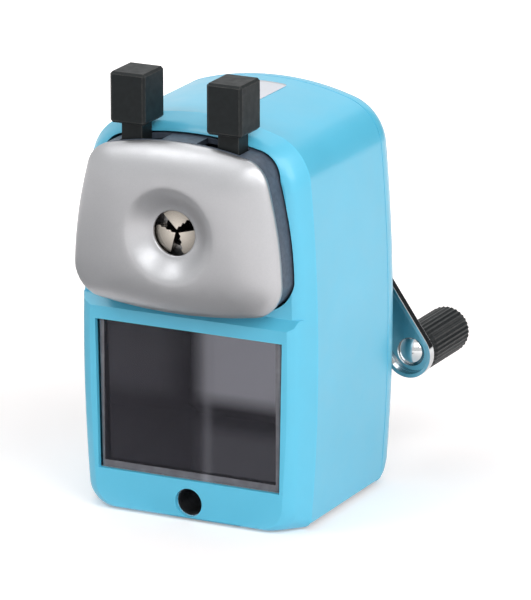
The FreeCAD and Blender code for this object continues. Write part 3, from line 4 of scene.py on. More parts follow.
import bpy
from bpy.props import FloatProperty, FloatVectorProperty, IntProperty, PointerProperty
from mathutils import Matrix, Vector


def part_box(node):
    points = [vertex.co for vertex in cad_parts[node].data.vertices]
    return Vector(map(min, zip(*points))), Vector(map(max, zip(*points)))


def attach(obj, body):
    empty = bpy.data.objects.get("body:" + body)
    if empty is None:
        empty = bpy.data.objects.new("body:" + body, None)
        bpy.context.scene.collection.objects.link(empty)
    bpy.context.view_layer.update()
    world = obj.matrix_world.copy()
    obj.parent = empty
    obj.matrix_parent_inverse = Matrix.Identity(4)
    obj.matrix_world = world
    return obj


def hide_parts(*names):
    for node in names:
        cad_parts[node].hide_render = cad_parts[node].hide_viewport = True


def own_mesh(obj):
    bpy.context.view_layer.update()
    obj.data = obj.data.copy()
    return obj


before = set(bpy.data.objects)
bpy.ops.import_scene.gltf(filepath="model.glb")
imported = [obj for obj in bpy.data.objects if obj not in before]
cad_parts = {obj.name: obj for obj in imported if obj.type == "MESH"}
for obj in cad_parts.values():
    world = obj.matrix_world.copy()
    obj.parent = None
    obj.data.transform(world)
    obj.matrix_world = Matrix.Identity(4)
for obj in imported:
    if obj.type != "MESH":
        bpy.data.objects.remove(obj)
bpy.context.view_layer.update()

bl_info = {
    "name": "Crank Pencil Sharpener",
    "version": (1, 0, 0),
    "blender": (4, 5, 0),
    "location": "View3D > Sidebar > Sharpener",
    "description": "Finishes, trim and studio for a crank pencil sharpener",
    "category": "Object",
}

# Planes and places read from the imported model
PENCIL_LOW, PENCIL_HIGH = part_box("pencil_sleeve")
PLATE_LOW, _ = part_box("face_plate")
HOUSING_LOW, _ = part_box("carriage_housing")
_, SLEEVE_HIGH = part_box("main_sleeve")
AXIS_Z = (PENCIL_LOW.z + PENCIL_HIGH.z) / 2
PLATE_CROWN_Y = PLATE_LOW.y
PLATE_EDGE_Y = HOUSING_LOW.y

MM = 0.001
EVEN = (1.0, 1.0, 1.0)
WHITE = (1.0, 1.0, 1.0, 1.0)
UPWARD = (0.0, 0.0, 1.0)

# Gap that is welded, angle under which faces are one flat, and angles over which edges are rounded or sharp
WELD_GAP = 0.002 * MM
FLAT_ANGLE = math.radians(0.2)
EDGE_ANGLE = math.radians(35)
PIECE_ANGLE = math.radians(40)
PLATE_ANGLE = math.radians(70)

# Lean under which an edge of an outline counts as parallel to a spoke
PARALLEL = 1e-12

# Part of a noise that is spread over a whole range, and the sockets of the mix node that carry colours
NOISE_LOW, NOISE_HIGH = 0.3, 0.7
MIX_FACTOR, MIX_FIRST, MIX_SECOND, MIX_RESULT = 0, 6, 7, 2

# Masks of the drawer, in thicknesses of its wall, with a patch of painted light on its back wall, and its
# painted glowing line as a share of its width
MASK_SOFT = 0.15
PANE_START, PANE_FULL = 1.2, 1.1
LIT_FLOOR, LIT_ABOVE = 1.8, 4.2
LIT_SIDE, LIT_INSIDE = 1.6, 5.4
LINE_SHARE = 0.59

# Studio, in metres: name, place and side of each light, the point that they face, the floor and where it glows
LIGHTS = (
    ("key", (0.84, -0.44, 0.74), 0.8),
    ("top", (-0.22, 0.25, 1.1), 0.9),
    ("front", (0.42, -1.05, 0.80), 0.55),
    ("high", (-0.5, -0.62, 0.95), 0.5),
)
LIT_POINT = Vector((0.0, 0.0, 0.06))
FLOOR_SIDE = 6.0
GLOW_NEAR, GLOW_FAR = 0.08, 0.4

# Cards that bright surfaces mirror, in metres: one behind the crank, one on the left and one in front
DARK_CARD, DARK_CARD_SIDE = (0.26, 0.48, 0.21), 0.34
GREY_CARD_REACH, GREY_CARD_LIFT, GREY_CARD_SIDE = 0.32, 0.4 * MM, 0.44
LOW_CARD, LOW_CARD_SIDE = (-0.02, -0.115, 0.6 * MM), 0.14


def colour_property(name, description, default):
    """Colour, as linear values."""
    return FloatVectorProperty(
        name=name, description=description, subtype="COLOR", size=3, min=0.0, max=1.0, default=default)


def length_property(name, description, default):
    """Length, in metres."""
    return FloatProperty(name=name, description=description, unit="LENGTH", default=default, min=0.0)


def power_property(name, description, default):
    """Power of a light, in watts."""
    return FloatProperty(name=name, description=description, unit="POWER", default=default, min=0.0)


class SharpenerColours(bpy.types.PropertyGroup):
    """Colours of the finishes."""

    body: colour_property("Body", "Satin paint of the case", (0.112, 0.575, 0.815))
    plate: colour_property("Plate", "Silver lacquer of the face plate", (0.44, 0.445, 0.46))
    housing: colour_property("Housing", "Grey moulding of the carriage", (0.085, 0.105, 0.14))
    black: colour_property("Black", "Black moulding of the tabs and the grip", (0.008, 0.0105, 0.0115))
    # Edge colours below: rubbed wear and painted edge highlight
    tab_wear_and_highlight: colour_property("Tab wear", "Rubbed edges of the tabs", (0.16, 0.155, 0.145))
    grip_wear_and_highlight: colour_property("Grip wear", "Rubbed edges of the grip", (0.09, 0.09, 0.09))
    gear_wear_and_highlight: colour_property("Gear wear", "Rubbed edges of the gear housing", (0.08, 0.08, 0.08))
    smoke: colour_property("Smoke", "Tint of the clear drawer", (0.05, 0.048, 0.060))
    # Smoke edge colours the wall ends as a painted reflection, and the painted light patch and glow inside the
    # drawer
    smoke_edge_and_painted_glow: colour_property(
        "Smoke edge", "Tint where the drawer front is seen through its walls", (0.196, 0.195, 0.217))
    label: colour_property("Label", "Blank label on the top", (0.72, 0.74, 0.80))
    chrome: colour_property("Chrome", "Plating of the crank arm", (0.56, 0.58, 0.59))
    nickel: colour_property("Nickel", "Plating of the jaws", (0.66, 0.61, 0.54))
    rods: colour_property("Rods", "Plating of the guide rods", (0.78, 0.79, 0.80))
    zinc: colour_property("Zinc", "Plated sheet of the base", (0.50, 0.51, 0.53))
    cast_zinc: colour_property("Cast zinc", "Carrier of the cutter", (0.52, 0.53, 0.54))
    plain_steel: colour_property("Plain steel", "Springs, clips and small screws", (0.56, 0.56, 0.57))
    stamped_steel: colour_property("Stamped steel", "Plates behind the jaws", (0.42, 0.42, 0.43))
    hard_steel: colour_property("Hardened steel", "Cutter, pinion and shaft", (0.46, 0.46, 0.48))
    bronze: colour_property("Bronze", "Bushes of the rods and the shaft", (0.52, 0.34, 0.15))
    rubber: colour_property("Rubber", "Feet", (0.02, 0.02, 0.021))
    floor: colour_property("Floor", "Pale floor", (0.92, 0.87, 0.86))
    dark_card: colour_property("Dark card", "Card behind the crank", (0.02, 0.02, 0.022))
    grey_card: colour_property("Grey card", "Card on the left", (0.55, 0.55, 0.555))
    low_card: colour_property("Low card", "Card in front", (0.36, 0.36, 0.365))


class SharpenerSizes(bpy.types.PropertyGroup):
    """Sizes of the trim that the scene adds."""

    edge: length_property("Fine edge", "Rounding of moulded edges", 0.35 * MM)
    sharp_edge: length_property("Sheet edge", "Rounding of sheet and turned edges", 0.15 * MM)
    plate_lip: length_property("Plate lip", "Straight edge of the face plate", 0.9 * MM)
    plate_wall: length_property("Plate wall", "Thickness of the face plate", 1.3 * MM)
    plate_dome: FloatProperty(
        name="Plate dome", description="Power that spreads the dome of the face plate", default=1.35, min=0.5)
    plate_spokes: IntProperty(
        name="Plate spokes", description="Points round the face plate", default=120, min=24)
    dome_rings: IntProperty(
        name="Dome rings", description="Rings of the dome of the face plate", default=26, min=4)
    dish_rings: IntProperty(
        name="Dish rings", description="Rings of the dish of the face plate", default=20, min=4)
    dish_radius: length_property("Dish radius", "Where the dish round the pencil hole starts", 14.2 * MM)
    dish_blend: FloatProperty(
        name="Dish blend", description="Power that rounds the rim of the dish", default=1.6, min=1.0)
    dish_curve: FloatProperty(
        name="Dish curve", description="Power that flattens the dish towards the hole", default=1.7, min=0.5)
    dish_depth: length_property("Dish depth", "Crown of the face plate to the pencil hole", 3.8 * MM)
    hole_radius: length_property("Pencil hole", "Radius of the hole in the face plate", 6.6 * MM)
    label_length: length_property("Label length", "Length of the blank label along the case", 20.0 * MM)
    label_width: length_property("Label width", "Width of the blank label across the case", 15.4 * MM)
    label_inset: length_property("Label inset", "Label to the rear edge of the sleeve", 6.3 * MM)
    label_corner: length_property("Label corner", "Radius of the corners of the label", 1.6 * MM)
    label_lift: length_property("Label lift", "Face of the label above the sleeve", 0.12 * MM)
    label_film: FloatProperty(
        name="Label film", description="Share of the lift that the film of the label fills", subtype="FACTOR",
        default=0.8, min=0.0, max=1.0)
    crown_radius: length_property("Crown radius", "Radius of the bowed top of the sleeve", 80.0 * MM)
    carriage_travel: length_property("Carriage travel", "How far the carriage presses its springs", 27.0 * MM)
    jaw_spring_travel: length_property(
        "Jaw spring travel", "How far the pinched tabs press their spring", 8.2 * MM)
    drawer_wall: length_property("Drawer wall", "Thickness of the walls of the drawer", 2.2 * MM)


class StudioSettings(bpy.types.PropertyGroup):
    """Camera and light of the picture."""

    azimuth: FloatProperty(
        name="Azimuth", description="Camera to the right of the front", subtype="ANGLE",
        default=math.radians(26.25))
    elevation: FloatProperty(
        name="Elevation", description="Camera above the table", subtype="ANGLE", default=math.radians(16.5))
    distance: FloatProperty(
        name="Distance", description="Camera to the point it looks at", unit="LENGTH", default=1.7276, min=0.1)
    lens: FloatProperty(
        name="Lens", description="Focal length in millimetres", unit="CAMERA", default=360.0, min=1.0)
    aim: FloatVectorProperty(
        name="Aim", description="Point on the sharpener", subtype="TRANSLATION", size=3,
        default=(0.0, 0.009, 0.060))
    slide: FloatProperty(
        name="Slide", description="Camera to the right of the aim", unit="LENGTH", default=4.28 * MM)
    drop: FloatProperty(
        name="Drop", description="Camera below the aim", unit="LENGTH", default=4.55 * MM)
    key: power_property("Key", "Large light on the right", 7.2)
    top: power_property("Top", "Light overhead", 3.4)
    front: power_property("Front", "Light that the face plate mirrors", 3.4)
    high: power_property("High", "Light over the front", 2.7)
    sky: FloatProperty(name="Sky", description="Strength of the light from all round", default=0.24, min=0.0)
    floor_near: FloatProperty(
        name="Floor near", description="Glow of the floor beside the sharpener", default=0.29, min=0.0)
    floor_far: FloatProperty(
        name="Floor far", description="Glow of the floor away from the sharpener", default=0.75, min=0.0)


def colours():
    return bpy.context.scene.sharpener_colours


def sizes():
    return bpy.context.scene.sharpener_sizes


def studio():
    return bpy.context.scene.sharpener_studio


# Shader building blocks

def add(tree, kind, **inputs):
    """New shader node with some of its inputs set."""
    made = tree.nodes.new("ShaderNode" + kind)
    for name, value in inputs.items():
        made.inputs[name.replace("_", " ")].default_value = value
    return made


def start(name):
    """New material, with its tree and its shader."""
    material = bpy.data.materials.new(name)
    material.use_nodes = True
    return material, material.node_tree, material.node_tree.nodes["Principled BSDF"]


def own_space(tree):
    """Places in the object's own space."""
    return add(tree, "TexCoord").outputs["Object"]


def mapped(tree, place, **inputs):
    """Places moved and scaled."""
    made = add(tree, "Mapping", **inputs)
    tree.links.new(place, made.inputs["Vector"])
    return made.outputs["Vector"]


def noise(tree, scale, detail=3.0, stretch=EVEN):
    """Noise in the object's own space, counted per metre."""
    texture = add(tree, "TexNoise", Scale=scale, Detail=detail)
    tree.links.new(mapped(tree, own_space(tree), Scale=stretch), texture.inputs["Vector"])
    return texture.outputs["Fac"]


def ramp(tree, value, low=0.0, high=1.0, bottom=0.0, top=1.0):
    """Maps the range from low to high to the one from bottom to top."""
    made = add(tree, "MapRange", From_Min=low, From_Max=high, To_Min=bottom, To_Max=top)
    tree.links.new(value, made.inputs["Value"])
    return made.outputs["Result"]


def spread(tree, value, bottom, top):
    """Maps the middle of a noise to a range."""
    return ramp(tree, value, NOISE_LOW, NOISE_HIGH, bottom, top)


def joined(tree, operation, first, second):
    """Result of a sum on two sockets."""
    made = tree.nodes.new("ShaderNodeMath")
    made.operation = operation
    tree.links.new(first, made.inputs[0])
    tree.links.new(second, made.inputs[1])
    return made.outputs["Value"]


def measured(tree, operation, *vectors):
    """Number that a sum on vectors gives."""
    made = tree.nodes.new("ShaderNodeVectorMath")
    made.operation = operation
    for vector, socket in zip(vectors, made.inputs):
        tree.links.new(vector, socket)
    return made.outputs["Value"]


def blend(tree, factor, first, second):
    """Mixes two colours, each a value or a socket."""
    mix = tree.nodes.new("ShaderNodeMix")
    mix.data_type = "RGBA"
    tree.links.new(factor, mix.inputs[MIX_FACTOR])
    for socket, colour in ((mix.inputs[MIX_FIRST], first), (mix.inputs[MIX_SECOND], second)):
        if isinstance(colour, bpy.types.NodeSocket):
            tree.links.new(colour, socket)
        else:
            socket.default_value = (*colour, 1.0)
    return mix.outputs[MIX_RESULT]


def shade(colour, share):
    """Darker or lighter colour."""
    return tuple(min(1.0, part * share) for part in colour)


def mottle(tree, colour, darker, lighter, scale):
    """Slow variation of a colour."""
    patches = spread(tree, noise(tree, scale), 0.0, 1.0)
    return blend(tree, patches, shade(colour, darker), shade(colour, lighter))


def worn_and_highlit_edges(tree, colour, edge_colour, radius, amount):
    """Lightens the edges as rubbed wear and painted edge highlight, found by comparing the true normal with a
    rounded one.
    """
    rounded = add(tree, "Bevel", Radius=radius)
    surface = add(tree, "NewGeometry")
    turn = measured(tree, "DOT_PRODUCT", rounded.outputs["Normal"], surface.outputs["Normal"])
    edge = ramp(tree, turn, low=1.0, high=0.9, top=amount)
    patches = spread(tree, noise(tree, scale=900.0), 0.2, 1.0)
    return blend(tree, joined(tree, "MULTIPLY", edge, patches), colour, edge_colour)


def grain(tree, shader, scale, strength, detail=2.0, stretch=EVEN):
    """Fine relief of the surface."""
    bump = add(tree, "Bump", Strength=strength, Distance=0.1 * MM)
    tree.links.new(noise(tree, scale, detail, stretch), bump.inputs["Height"])
    tree.links.new(bump.outputs["Normal"], shader.inputs["Normal"])


def uneven_gloss(tree, shader, scale, low, high, stretch=EVEN):
    """Roughness that varies between two values."""
    patches = noise(tree, scale, detail=4.0, stretch=stretch)
    tree.links.new(spread(tree, patches, low, high), shader.inputs["Roughness"])


# Finishes

def satin_paint(name, colour):
    """Satin paint under a thin clear coat, lighter on its edges as rubbed wear and painted edge highlight."""
    material, tree, shader = start(name)
    tone = mottle(tree, colour, darker=0.97, lighter=1.03, scale=40.0)
    edges = worn_and_highlit_edges(tree, tone, shade(colour, share=1.25), radius=0.5 * MM, amount=0.5)
    tree.links.new(edges, shader.inputs["Base Color"])
    uneven_gloss(tree, shader, scale=160.0, low=0.36, high=0.44)
    shader.inputs["Coat Weight"].default_value = 0.35
    shader.inputs["Coat Roughness"].default_value = 0.16
    grain(tree, shader, scale=1800.0, strength=0.05)
    return material


def silver_lacquer(name, colour, metal):
    """Lacquer with fine metal flakes."""
    material, tree, shader = start(name)
    flakes = mottle(tree, colour, darker=0.97, lighter=1.02, scale=2600.0)
    tree.links.new(flakes, shader.inputs["Base Color"])
    shader.inputs["Metallic"].default_value = metal
    uneven_gloss(tree, shader, scale=300.0, low=0.36, high=0.42)
    grain(tree, shader, scale=5200.0, strength=0.06)
    return material


def moulding(name, colour, gloss, wear_and_highlight, edge_colour):
    """Moulded plastic with a fine spark grain and edges lighter as rubbed wear and painted edge highlight."""
    material, tree, shader = start(name)
    tone = mottle(tree, colour, darker=0.85, lighter=1.2, scale=700.0)
    edges = worn_and_highlit_edges(tree, tone, edge_colour, radius=0.4 * MM, amount=wear_and_highlight)
    tree.links.new(edges, shader.inputs["Base Color"])
    uneven_gloss(tree, shader, scale=420.0, low=gloss - 0.06, high=gloss + 0.06)
    shader.inputs["Specular IOR Level"].default_value = 0.2
    grain(tree, shader, scale=3600.0, strength=0.22)
    return material


def tray_masks(tree, node, wall):
    """Masks of a tray: front pane, wall ends behind the pane, painted light patch on its back, painted glowing
    line on the pane.
    """
    low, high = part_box(node)
    parts = add(tree, "SeparateXYZ")
    tree.links.new(own_space(tree), parts.inputs["Vector"])
    x, y, z = (parts.outputs[axis] for axis in "XYZ")

    def both(first, second):
        return joined(tree, "MULTIPLY", first, second)

    def either(first, second):
        return joined(tree, "MAXIMUM", first, second)

    soft = MASK_SOFT * wall
    right = ramp(tree, x, high.x - wall, high.x - wall + soft)
    left = ramp(tree, x, low.x + wall, low.x + wall - soft)
    bottom = ramp(tree, z, low.z + wall, low.z + wall - soft)
    front = ramp(tree, y, low.y + PANE_START * wall, low.y + PANE_FULL * wall)
    ends = both(either(either(right, left), bottom), front)
    # Painted light: a pale patch high on the back wall, away from the left wall
    upper = ramp(tree, z, low.z + LIT_FLOOR * wall, low.z + LIT_ABOVE * wall)
    inward = ramp(tree, x, low.x + LIT_SIDE * wall, low.x + LIT_INSIDE * wall)
    back = ramp(tree, y, high.y - PANE_START * wall, high.y - PANE_FULL * wall)
    lit = both(both(upper, inward), back)
    # Painted glowing line on the pane
    middle = low.x + LINE_SHARE * (high.x - low.x)
    rising = ramp(tree, x, middle - wall, middle)
    falling = ramp(tree, x, middle + wall, middle)
    line = both(both(rising, falling), front)
    return front, ends, lit, line


def smoked_clear(name, colour, edge_colour, node, wall):
    """Smoked plastic that lets light through, thicker over the wall ends with a painted reflection there, plus
    a painted light patch and a painted glowing line.
    """
    material, tree, shader = start(name)
    front, ends, lit, line = tray_masks(tree, node, wall)
    tone = mottle(tree, colour, darker=0.94, lighter=1.06, scale=60.0)
    # Wall ends seen through the pane: denser tint, lightened as a painted reflection
    ends_tint_and_reflection = mottle(tree, edge_colour, darker=0.7, lighter=1.0, scale=300.0)
    # Painted light: a pale patch on the back wall, then a glow of emission on that patch and on a line of the
    # pane
    pale = blend(tree, lit, tone, shade(edge_colour, share=2.6))
    tree.links.new(blend(tree, ends, pale, ends_tint_and_reflection), shader.inputs["Base Color"])
    shader.inputs["Emission Color"].default_value = (*shade(edge_colour, share=4.4), 1.0)
    glow = joined(tree, "ADD", ramp(tree, lit, top=0.28), ramp(tree, line, top=0.12))
    tree.links.new(glow, shader.inputs["Emission Strength"])
    pane = ramp(tree, front, bottom=0.9, top=0.26)
    density = joined(tree, "MAXIMUM", pane, ramp(tree, ends, top=0.9))
    tree.links.new(density, shader.inputs["Alpha"])
    shader.inputs["IOR"].default_value = 1.49
    uneven_gloss(tree, shader, scale=220.0, low=0.03, high=0.07)
    grain(tree, shader, scale=60.0, strength=0.05, detail=1.0, stretch=(6.0, 1.0, 0.3))
    return material


def plated(name, colour, low, high):
    """Bright plating with a light smear of fingerprints."""
    material, tree, shader = start(name)
    tone = mottle(tree, colour, darker=0.94, lighter=1.02, scale=240.0)
    tree.links.new(tone, shader.inputs["Base Color"])
    shader.inputs["Metallic"].default_value = 1.0
    uneven_gloss(tree, shader, scale=380.0, low=low, high=high)
    grain(tree, shader, scale=900.0, strength=0.03)
    return material


def nickel_with_painted_shade(name, colour, near, far):
    """Polished nickel with painted shade that darkens it away from the pencil axis, between two radii."""
    material, tree, shader = start(name)
    flat = mapped(tree, own_space(tree), Location=(0.0, 0.0, -AXIS_Z), Scale=(1.0, 0.0, 1.0))
    # Painted shade: darker away from the pencil axis, as if the hole shaded it
    outward = ramp(tree, measured(tree, "LENGTH", flat), near, far)
    bright = mottle(tree, colour, darker=0.96, lighter=1.02, scale=120.0)
    tree.links.new(blend(tree, outward, bright, shade(colour, share=0.34)), shader.inputs["Base Color"])
    shader.inputs["Metallic"].default_value = 1.0
    uneven_gloss(tree, shader, scale=200.0, low=0.16, high=0.24)
    return material


def drawn_steel(name, colour, stretch):
    """Plain metal with drawing lines along one direction."""
    material, tree, shader = start(name)
    tone = mottle(tree, colour, darker=0.88, lighter=1.08, scale=500.0)
    tree.links.new(tone, shader.inputs["Base Color"])
    shader.inputs["Metallic"].default_value = 1.0
    uneven_gloss(tree, shader, scale=900.0, low=0.24, high=0.40, stretch=stretch)
    grain(tree, shader, scale=1400.0, strength=0.10, stretch=stretch)
    return material


def soft_rubber(name, colour):
    """Dull rubber with a coarse grain."""
    material, tree, shader = start(name)
    tone = mottle(tree, colour, darker=0.8, lighter=1.3, scale=300.0)
    tree.links.new(tone, shader.inputs["Base Color"])
    uneven_gloss(tree, shader, scale=500.0, low=0.62, high=0.78)
    grain(tree, shader, scale=2400.0, strength=0.3)
    return material


def label_film(name, colour):
    """Smooth film of a label."""
    material, tree, shader = start(name)
    tone = mottle(tree, colour, darker=0.97, lighter=1.02, scale=90.0)
    tree.links.new(tone, shader.inputs["Base Color"])
    uneven_gloss(tree, shader, scale=200.0, low=0.28, high=0.36)
    grain(tree, shader, scale=1200.0, strength=0.04)
    return material


# Meshes

def finish(obj, material, edge=0.0, merge=False):
    """Gives an object its finish, with joined faces, fine rounded edges and smooth shading."""
    for slot in obj.material_slots:
        slot.material = material
    weld = obj.modifiers.new("joined faces", "WELD")
    weld.merge_threshold = WELD_GAP
    if merge:
        flat = obj.modifiers.new("merged flats", "DECIMATE")
        flat.decimate_type = "DISSOLVE"
        flat.angle_limit = FLAT_ANGLE
    if edge:
        rounding = obj.modifiers.new("fine edges", "BEVEL")
        rounding.width = edge
        rounding.segments = 2
        rounding.limit_method = "ANGLE"
        rounding.angle_limit = EDGE_ANGLE
        rounding.use_clamp_overlap = True
    normals = obj.modifiers.new("even shading", "WEIGHTED_NORMAL")
    normals.weight = 80
    normals.keep_sharp = True


def dress(nodes, material, edge=0.0, merge=False):
    """Gives CAD nodes a finish."""
    for node in nodes:
        finish(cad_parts[node], material, edge, merge)


def pressed_spring(node, body, material):
    """Copy of a CAD spring, finished, that rides on a body in place of the CAD node."""
    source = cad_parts[node]
    spring = bpy.data.objects.new(node + "_pressed", source.data.copy())
    spring.matrix_world = source.matrix_world
    bpy.context.scene.collection.objects.link(spring)
    finish(spring, material)
    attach(spring, body)
    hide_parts(node)
    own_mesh(spring)


def piece(name, points, faces, body, material, sharp=PIECE_ANGLE):
    """New mesh piece that rides on a body."""
    mesh = bpy.data.meshes.new(name)
    mesh.from_pydata(points, [], faces)
    mesh.materials.append(material)
    mesh.shade_smooth()
    mesh.set_sharp_from_angle(angle=sharp)
    obj = bpy.data.objects.new(name, mesh)
    bpy.context.scene.collection.objects.link(obj)
    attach(obj, body)
    return obj


def stitched(rings):
    """Faces between closed rings of the same count of points, one after the other."""
    count = len(rings[0])
    faces = []
    for row in range(len(rings) - 1):
        for k in range(count):
            following = (k + 1) % count
            here = row * count
            there = here + count
            faces.append((here + k, here + following, there + following, there + k))
    return faces


def flat_hull(points):
    """Convex outline of flat points, anticlockwise."""
    ordered = sorted(set(points))

    def half(run):
        chain = []
        for p in run:
            while len(chain) > 1:
                a, b = chain[-2], chain[-1]
                if (b[0] - a[0]) * (p[1] - a[1]) - (b[1] - a[1]) * (p[0] - a[0]) > 0:
                    break
                chain.pop()
            chain.append(p)
        return chain[:-1]

    return half(ordered) + half(ordered[::-1])


def reach(outline, turn):
    """Distance from the origin to a convex outline in one direction."""
    c, s = math.cos(turn), math.sin(turn)
    nearest = math.inf
    for (ax, az), (bx, bz) in zip(outline, outline[1:] + outline[:1]):
        dx, dz = bx - ax, bz - az
        facing = dx * s - dz * c
        if abs(facing) < PARALLEL:
            continue
        along = (dx * az - dz * ax) / facing
        if along > 0:
            nearest = min(nearest, along)
    return nearest


def plate_spokes(count):
    """Direction and length of each spoke of the face plate, from the outline of its CAD node."""
    points = [(v.co.x, v.co.z - AXIS_Z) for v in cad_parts["face_plate"].data.vertices]
    outline = flat_hull(points)
    turns = [2 * math.pi * k / count for k in range(count)]
    return [(math.cos(turn), math.sin(turn), reach(outline, turn)) for turn in turns]


def face_plate_rings():
    """Rings of the face plate, from its back edge over the domed face into the dish and the hole."""
    size = sizes()
    lip_y = PLATE_EDGE_Y - size.plate_lip
    height = lip_y - PLATE_CROWN_Y
    spokes = plate_spokes(size.plate_spokes)
    rings = [[Vector((c * r, PLATE_EDGE_Y, AXIS_Z + s * r)) for c, s, r in spokes]]
    for step in range(size.dome_rings + 1):
        turn = math.pi / 2 * step / size.dome_rings
        out = math.cos(turn)
        rise = math.sin(turn) ** size.plate_dome
        ring = []
        for c, s, r in spokes:
            far = size.dish_radius + (r - size.dish_radius) * out
            ring.append(Vector((c * far, lip_y - height * rise, AXIS_Z + s * far)))
        rings.append(ring)
    for step in range(1, size.dish_rings + 1):
        share = step / size.dish_rings
        far = size.dish_radius + (size.hole_radius - size.dish_radius) * share
        sink = size.dish_depth * (1 - (1 - share ** size.dish_blend) ** size.dish_curve)
        rings.append([Vector((c * far, PLATE_CROWN_Y + sink, AXIS_Z + s * far)) for c, s, _ in spokes])
    return rings


def label_grid():
    """Grid of the label, bent over the crown of the sleeve, with round corners."""
    size = sizes()
    half, corner = size.label_width / 2, size.label_corner
    back = SLEEVE_HIGH.y - size.label_inset
    radius = size.crown_radius + size.label_lift
    middle = SLEEVE_HIGH.z - size.crown_radius
    columns, rows = 32, 12
    points = []
    for column in range(columns + 1):
        x = half * math.sin(math.pi * (column / columns - 0.5))
        past = max(0.0, abs(x) - (half - corner))
        cut = corner - math.sqrt(max(0.0, corner * corner - past * past))
        for row in range(rows + 1):
            y = back - cut - (size.label_length - 2 * cut) * row / rows
            points.append((x, y, middle + math.sqrt(radius * radius - x * x)))
    faces = []
    for column in range(columns):
        for row in range(rows):
            here = column * (rows + 1) + row
            there = here + rows + 1
            faces.append((here + 1, there + 1, there, here))
    return points, faces


def thicken(obj, thickness):
    """Gives a surface a wall behind its face."""
    wall = obj.modifiers.new("wall", "SOLIDIFY")
    wall.thickness = thickness
    wall.offset = -1.0


class SHARPENER_OT_case(bpy.types.Operator):
    """Paint the front frame, the sleeve and the rear cover, and finish the base"""

    bl_idname = "sharpener.case"
    bl_label = "Case"

    def execute(self, context):
        paint = satin_paint("satin blue paint", colours().body)
        dress(("front_frame", "main_sleeve", "rear_cover"), paint, sizes().edge)
        sheet = drawn_steel("zinc plated sheet", colours().zinc, stretch=(1.0, 14.0, 1.0))
        dress(("base_plate", "drawer_shelf", "clamp_socket", "case_screws"), sheet, sizes().sharp_edge)
        rubber = soft_rubber("foot rubber", colours().rubber)
        dress(("rubber_feet",), rubber, sizes().edge)
        return {"FINISHED"}


class SHARPENER_OT_label(bpy.types.Operator):
    """Lay a blank label on the top of the sleeve"""

    bl_idname = "sharpener.label"
    bl_label = "Blank Label"

    def execute(self, context):
        points, faces = label_grid()
        film = label_film("blank label film", colours().label)
        label = piece("blank_label", points, faces, "case", film)
        thicken(label, sizes().label_lift * sizes().label_film)
        return {"FINISHED"}


class SHARPENER_OT_face_plate(bpy.types.Operator):
    """Build the domed face plate with its dish"""

    bl_idname = "sharpener.face_plate"
    bl_label = "Face Plate"

    def execute(self, context):
        rings = face_plate_rings()
        points = [point for ring in rings for point in ring]
        lacquer = silver_lacquer("silver lacquer", colours().plate, metal=0.75)
        plate = piece("face_plate_cover", points, stitched(rings), "carriage", lacquer, PLATE_ANGLE)
        thicken(plate, sizes().plate_wall)
        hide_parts("face_plate")
        return {"FINISHED"}


class SHARPENER_OT_carriage(bpy.types.Operator):
    """Finish the carriage housing, the rods and the springs"""

    bl_idname = "sharpener.carriage"
    bl_label = "Carriage"

    def execute(self, context):
        grey = colours().housing
        slate = moulding("slate moulding", grey, gloss=0.38, wear_and_highlight=0.35, edge_colour=shade(grey, share=2.0))
        dress(("carriage_housing",), slate, sizes().edge)
        rods = plated("bright rods", colours().rods, low=0.08, high=0.16)
        dress(("guide_rods",), rods, sizes().sharp_edge)
        steel = drawn_steel("plain steel", colours().plain_steel, stretch=(1.0, 1.0, 8.0))
        dress(("carriage_screws", "rod_clips", "pencil_sleeve"), steel)
        pressed_spring("return_springs", "carriage", steel)
        pressed_spring("jaw_spring", "lever_left", steel)
        return {"FINISHED"}


class SHARPENER_OT_tabs(bpy.types.Operator):
    """Finish the pinch tabs"""

    bl_idname = "sharpener.tabs"
    bl_label = "Pinch Tabs"

    def execute(self, context):
        black = moulding(
            "black moulding", colours().black, gloss=0.5, wear_and_highlight=0.55, edge_colour=colours().tab_wear_and_highlight)
        dress(("tab_left", "tab_right"), black, sizes().edge)
        return {"FINISHED"}


class SHARPENER_OT_jaws(bpy.types.Operator):
    """Finish the pencil jaws and the plates behind them"""

    bl_idname = "sharpener.jaws"
    bl_label = "Jaws"

    def execute(self, context):
        hole = sizes().hole_radius
        # Painted shade darkens the jaws away from the pencil axis
        nickel = nickel_with_painted_shade("warm nickel", colours().nickel, near=0.2 * hole, far=hole)
        dress(("jaw_top", "jaw_left", "jaw_right"), nickel, sizes().sharp_edge)
        steel = drawn_steel("stamped steel", colours().stamped_steel, stretch=(8.0, 1.0, 1.0))
        dress(("jaw_plate_left", "jaw_plate_right", "jaw_pins", "drive_pins"), steel)
        return {"FINISHED"}


class SHARPENER_OT_drawer(bpy.types.Operator):
    """Give the drawer its smoked clear plastic"""

    bl_idname = "sharpener.drawer"
    bl_label = "Drawer"

    def execute(self, context):
        smoke = smoked_clear(
            "smoked clear plastic", colours().smoke, colours().smoke_edge_and_painted_glow, "drawer", sizes().drawer_wall)
        dress(("drawer",), smoke, sizes().sharp_edge)
        return {"FINISHED"}


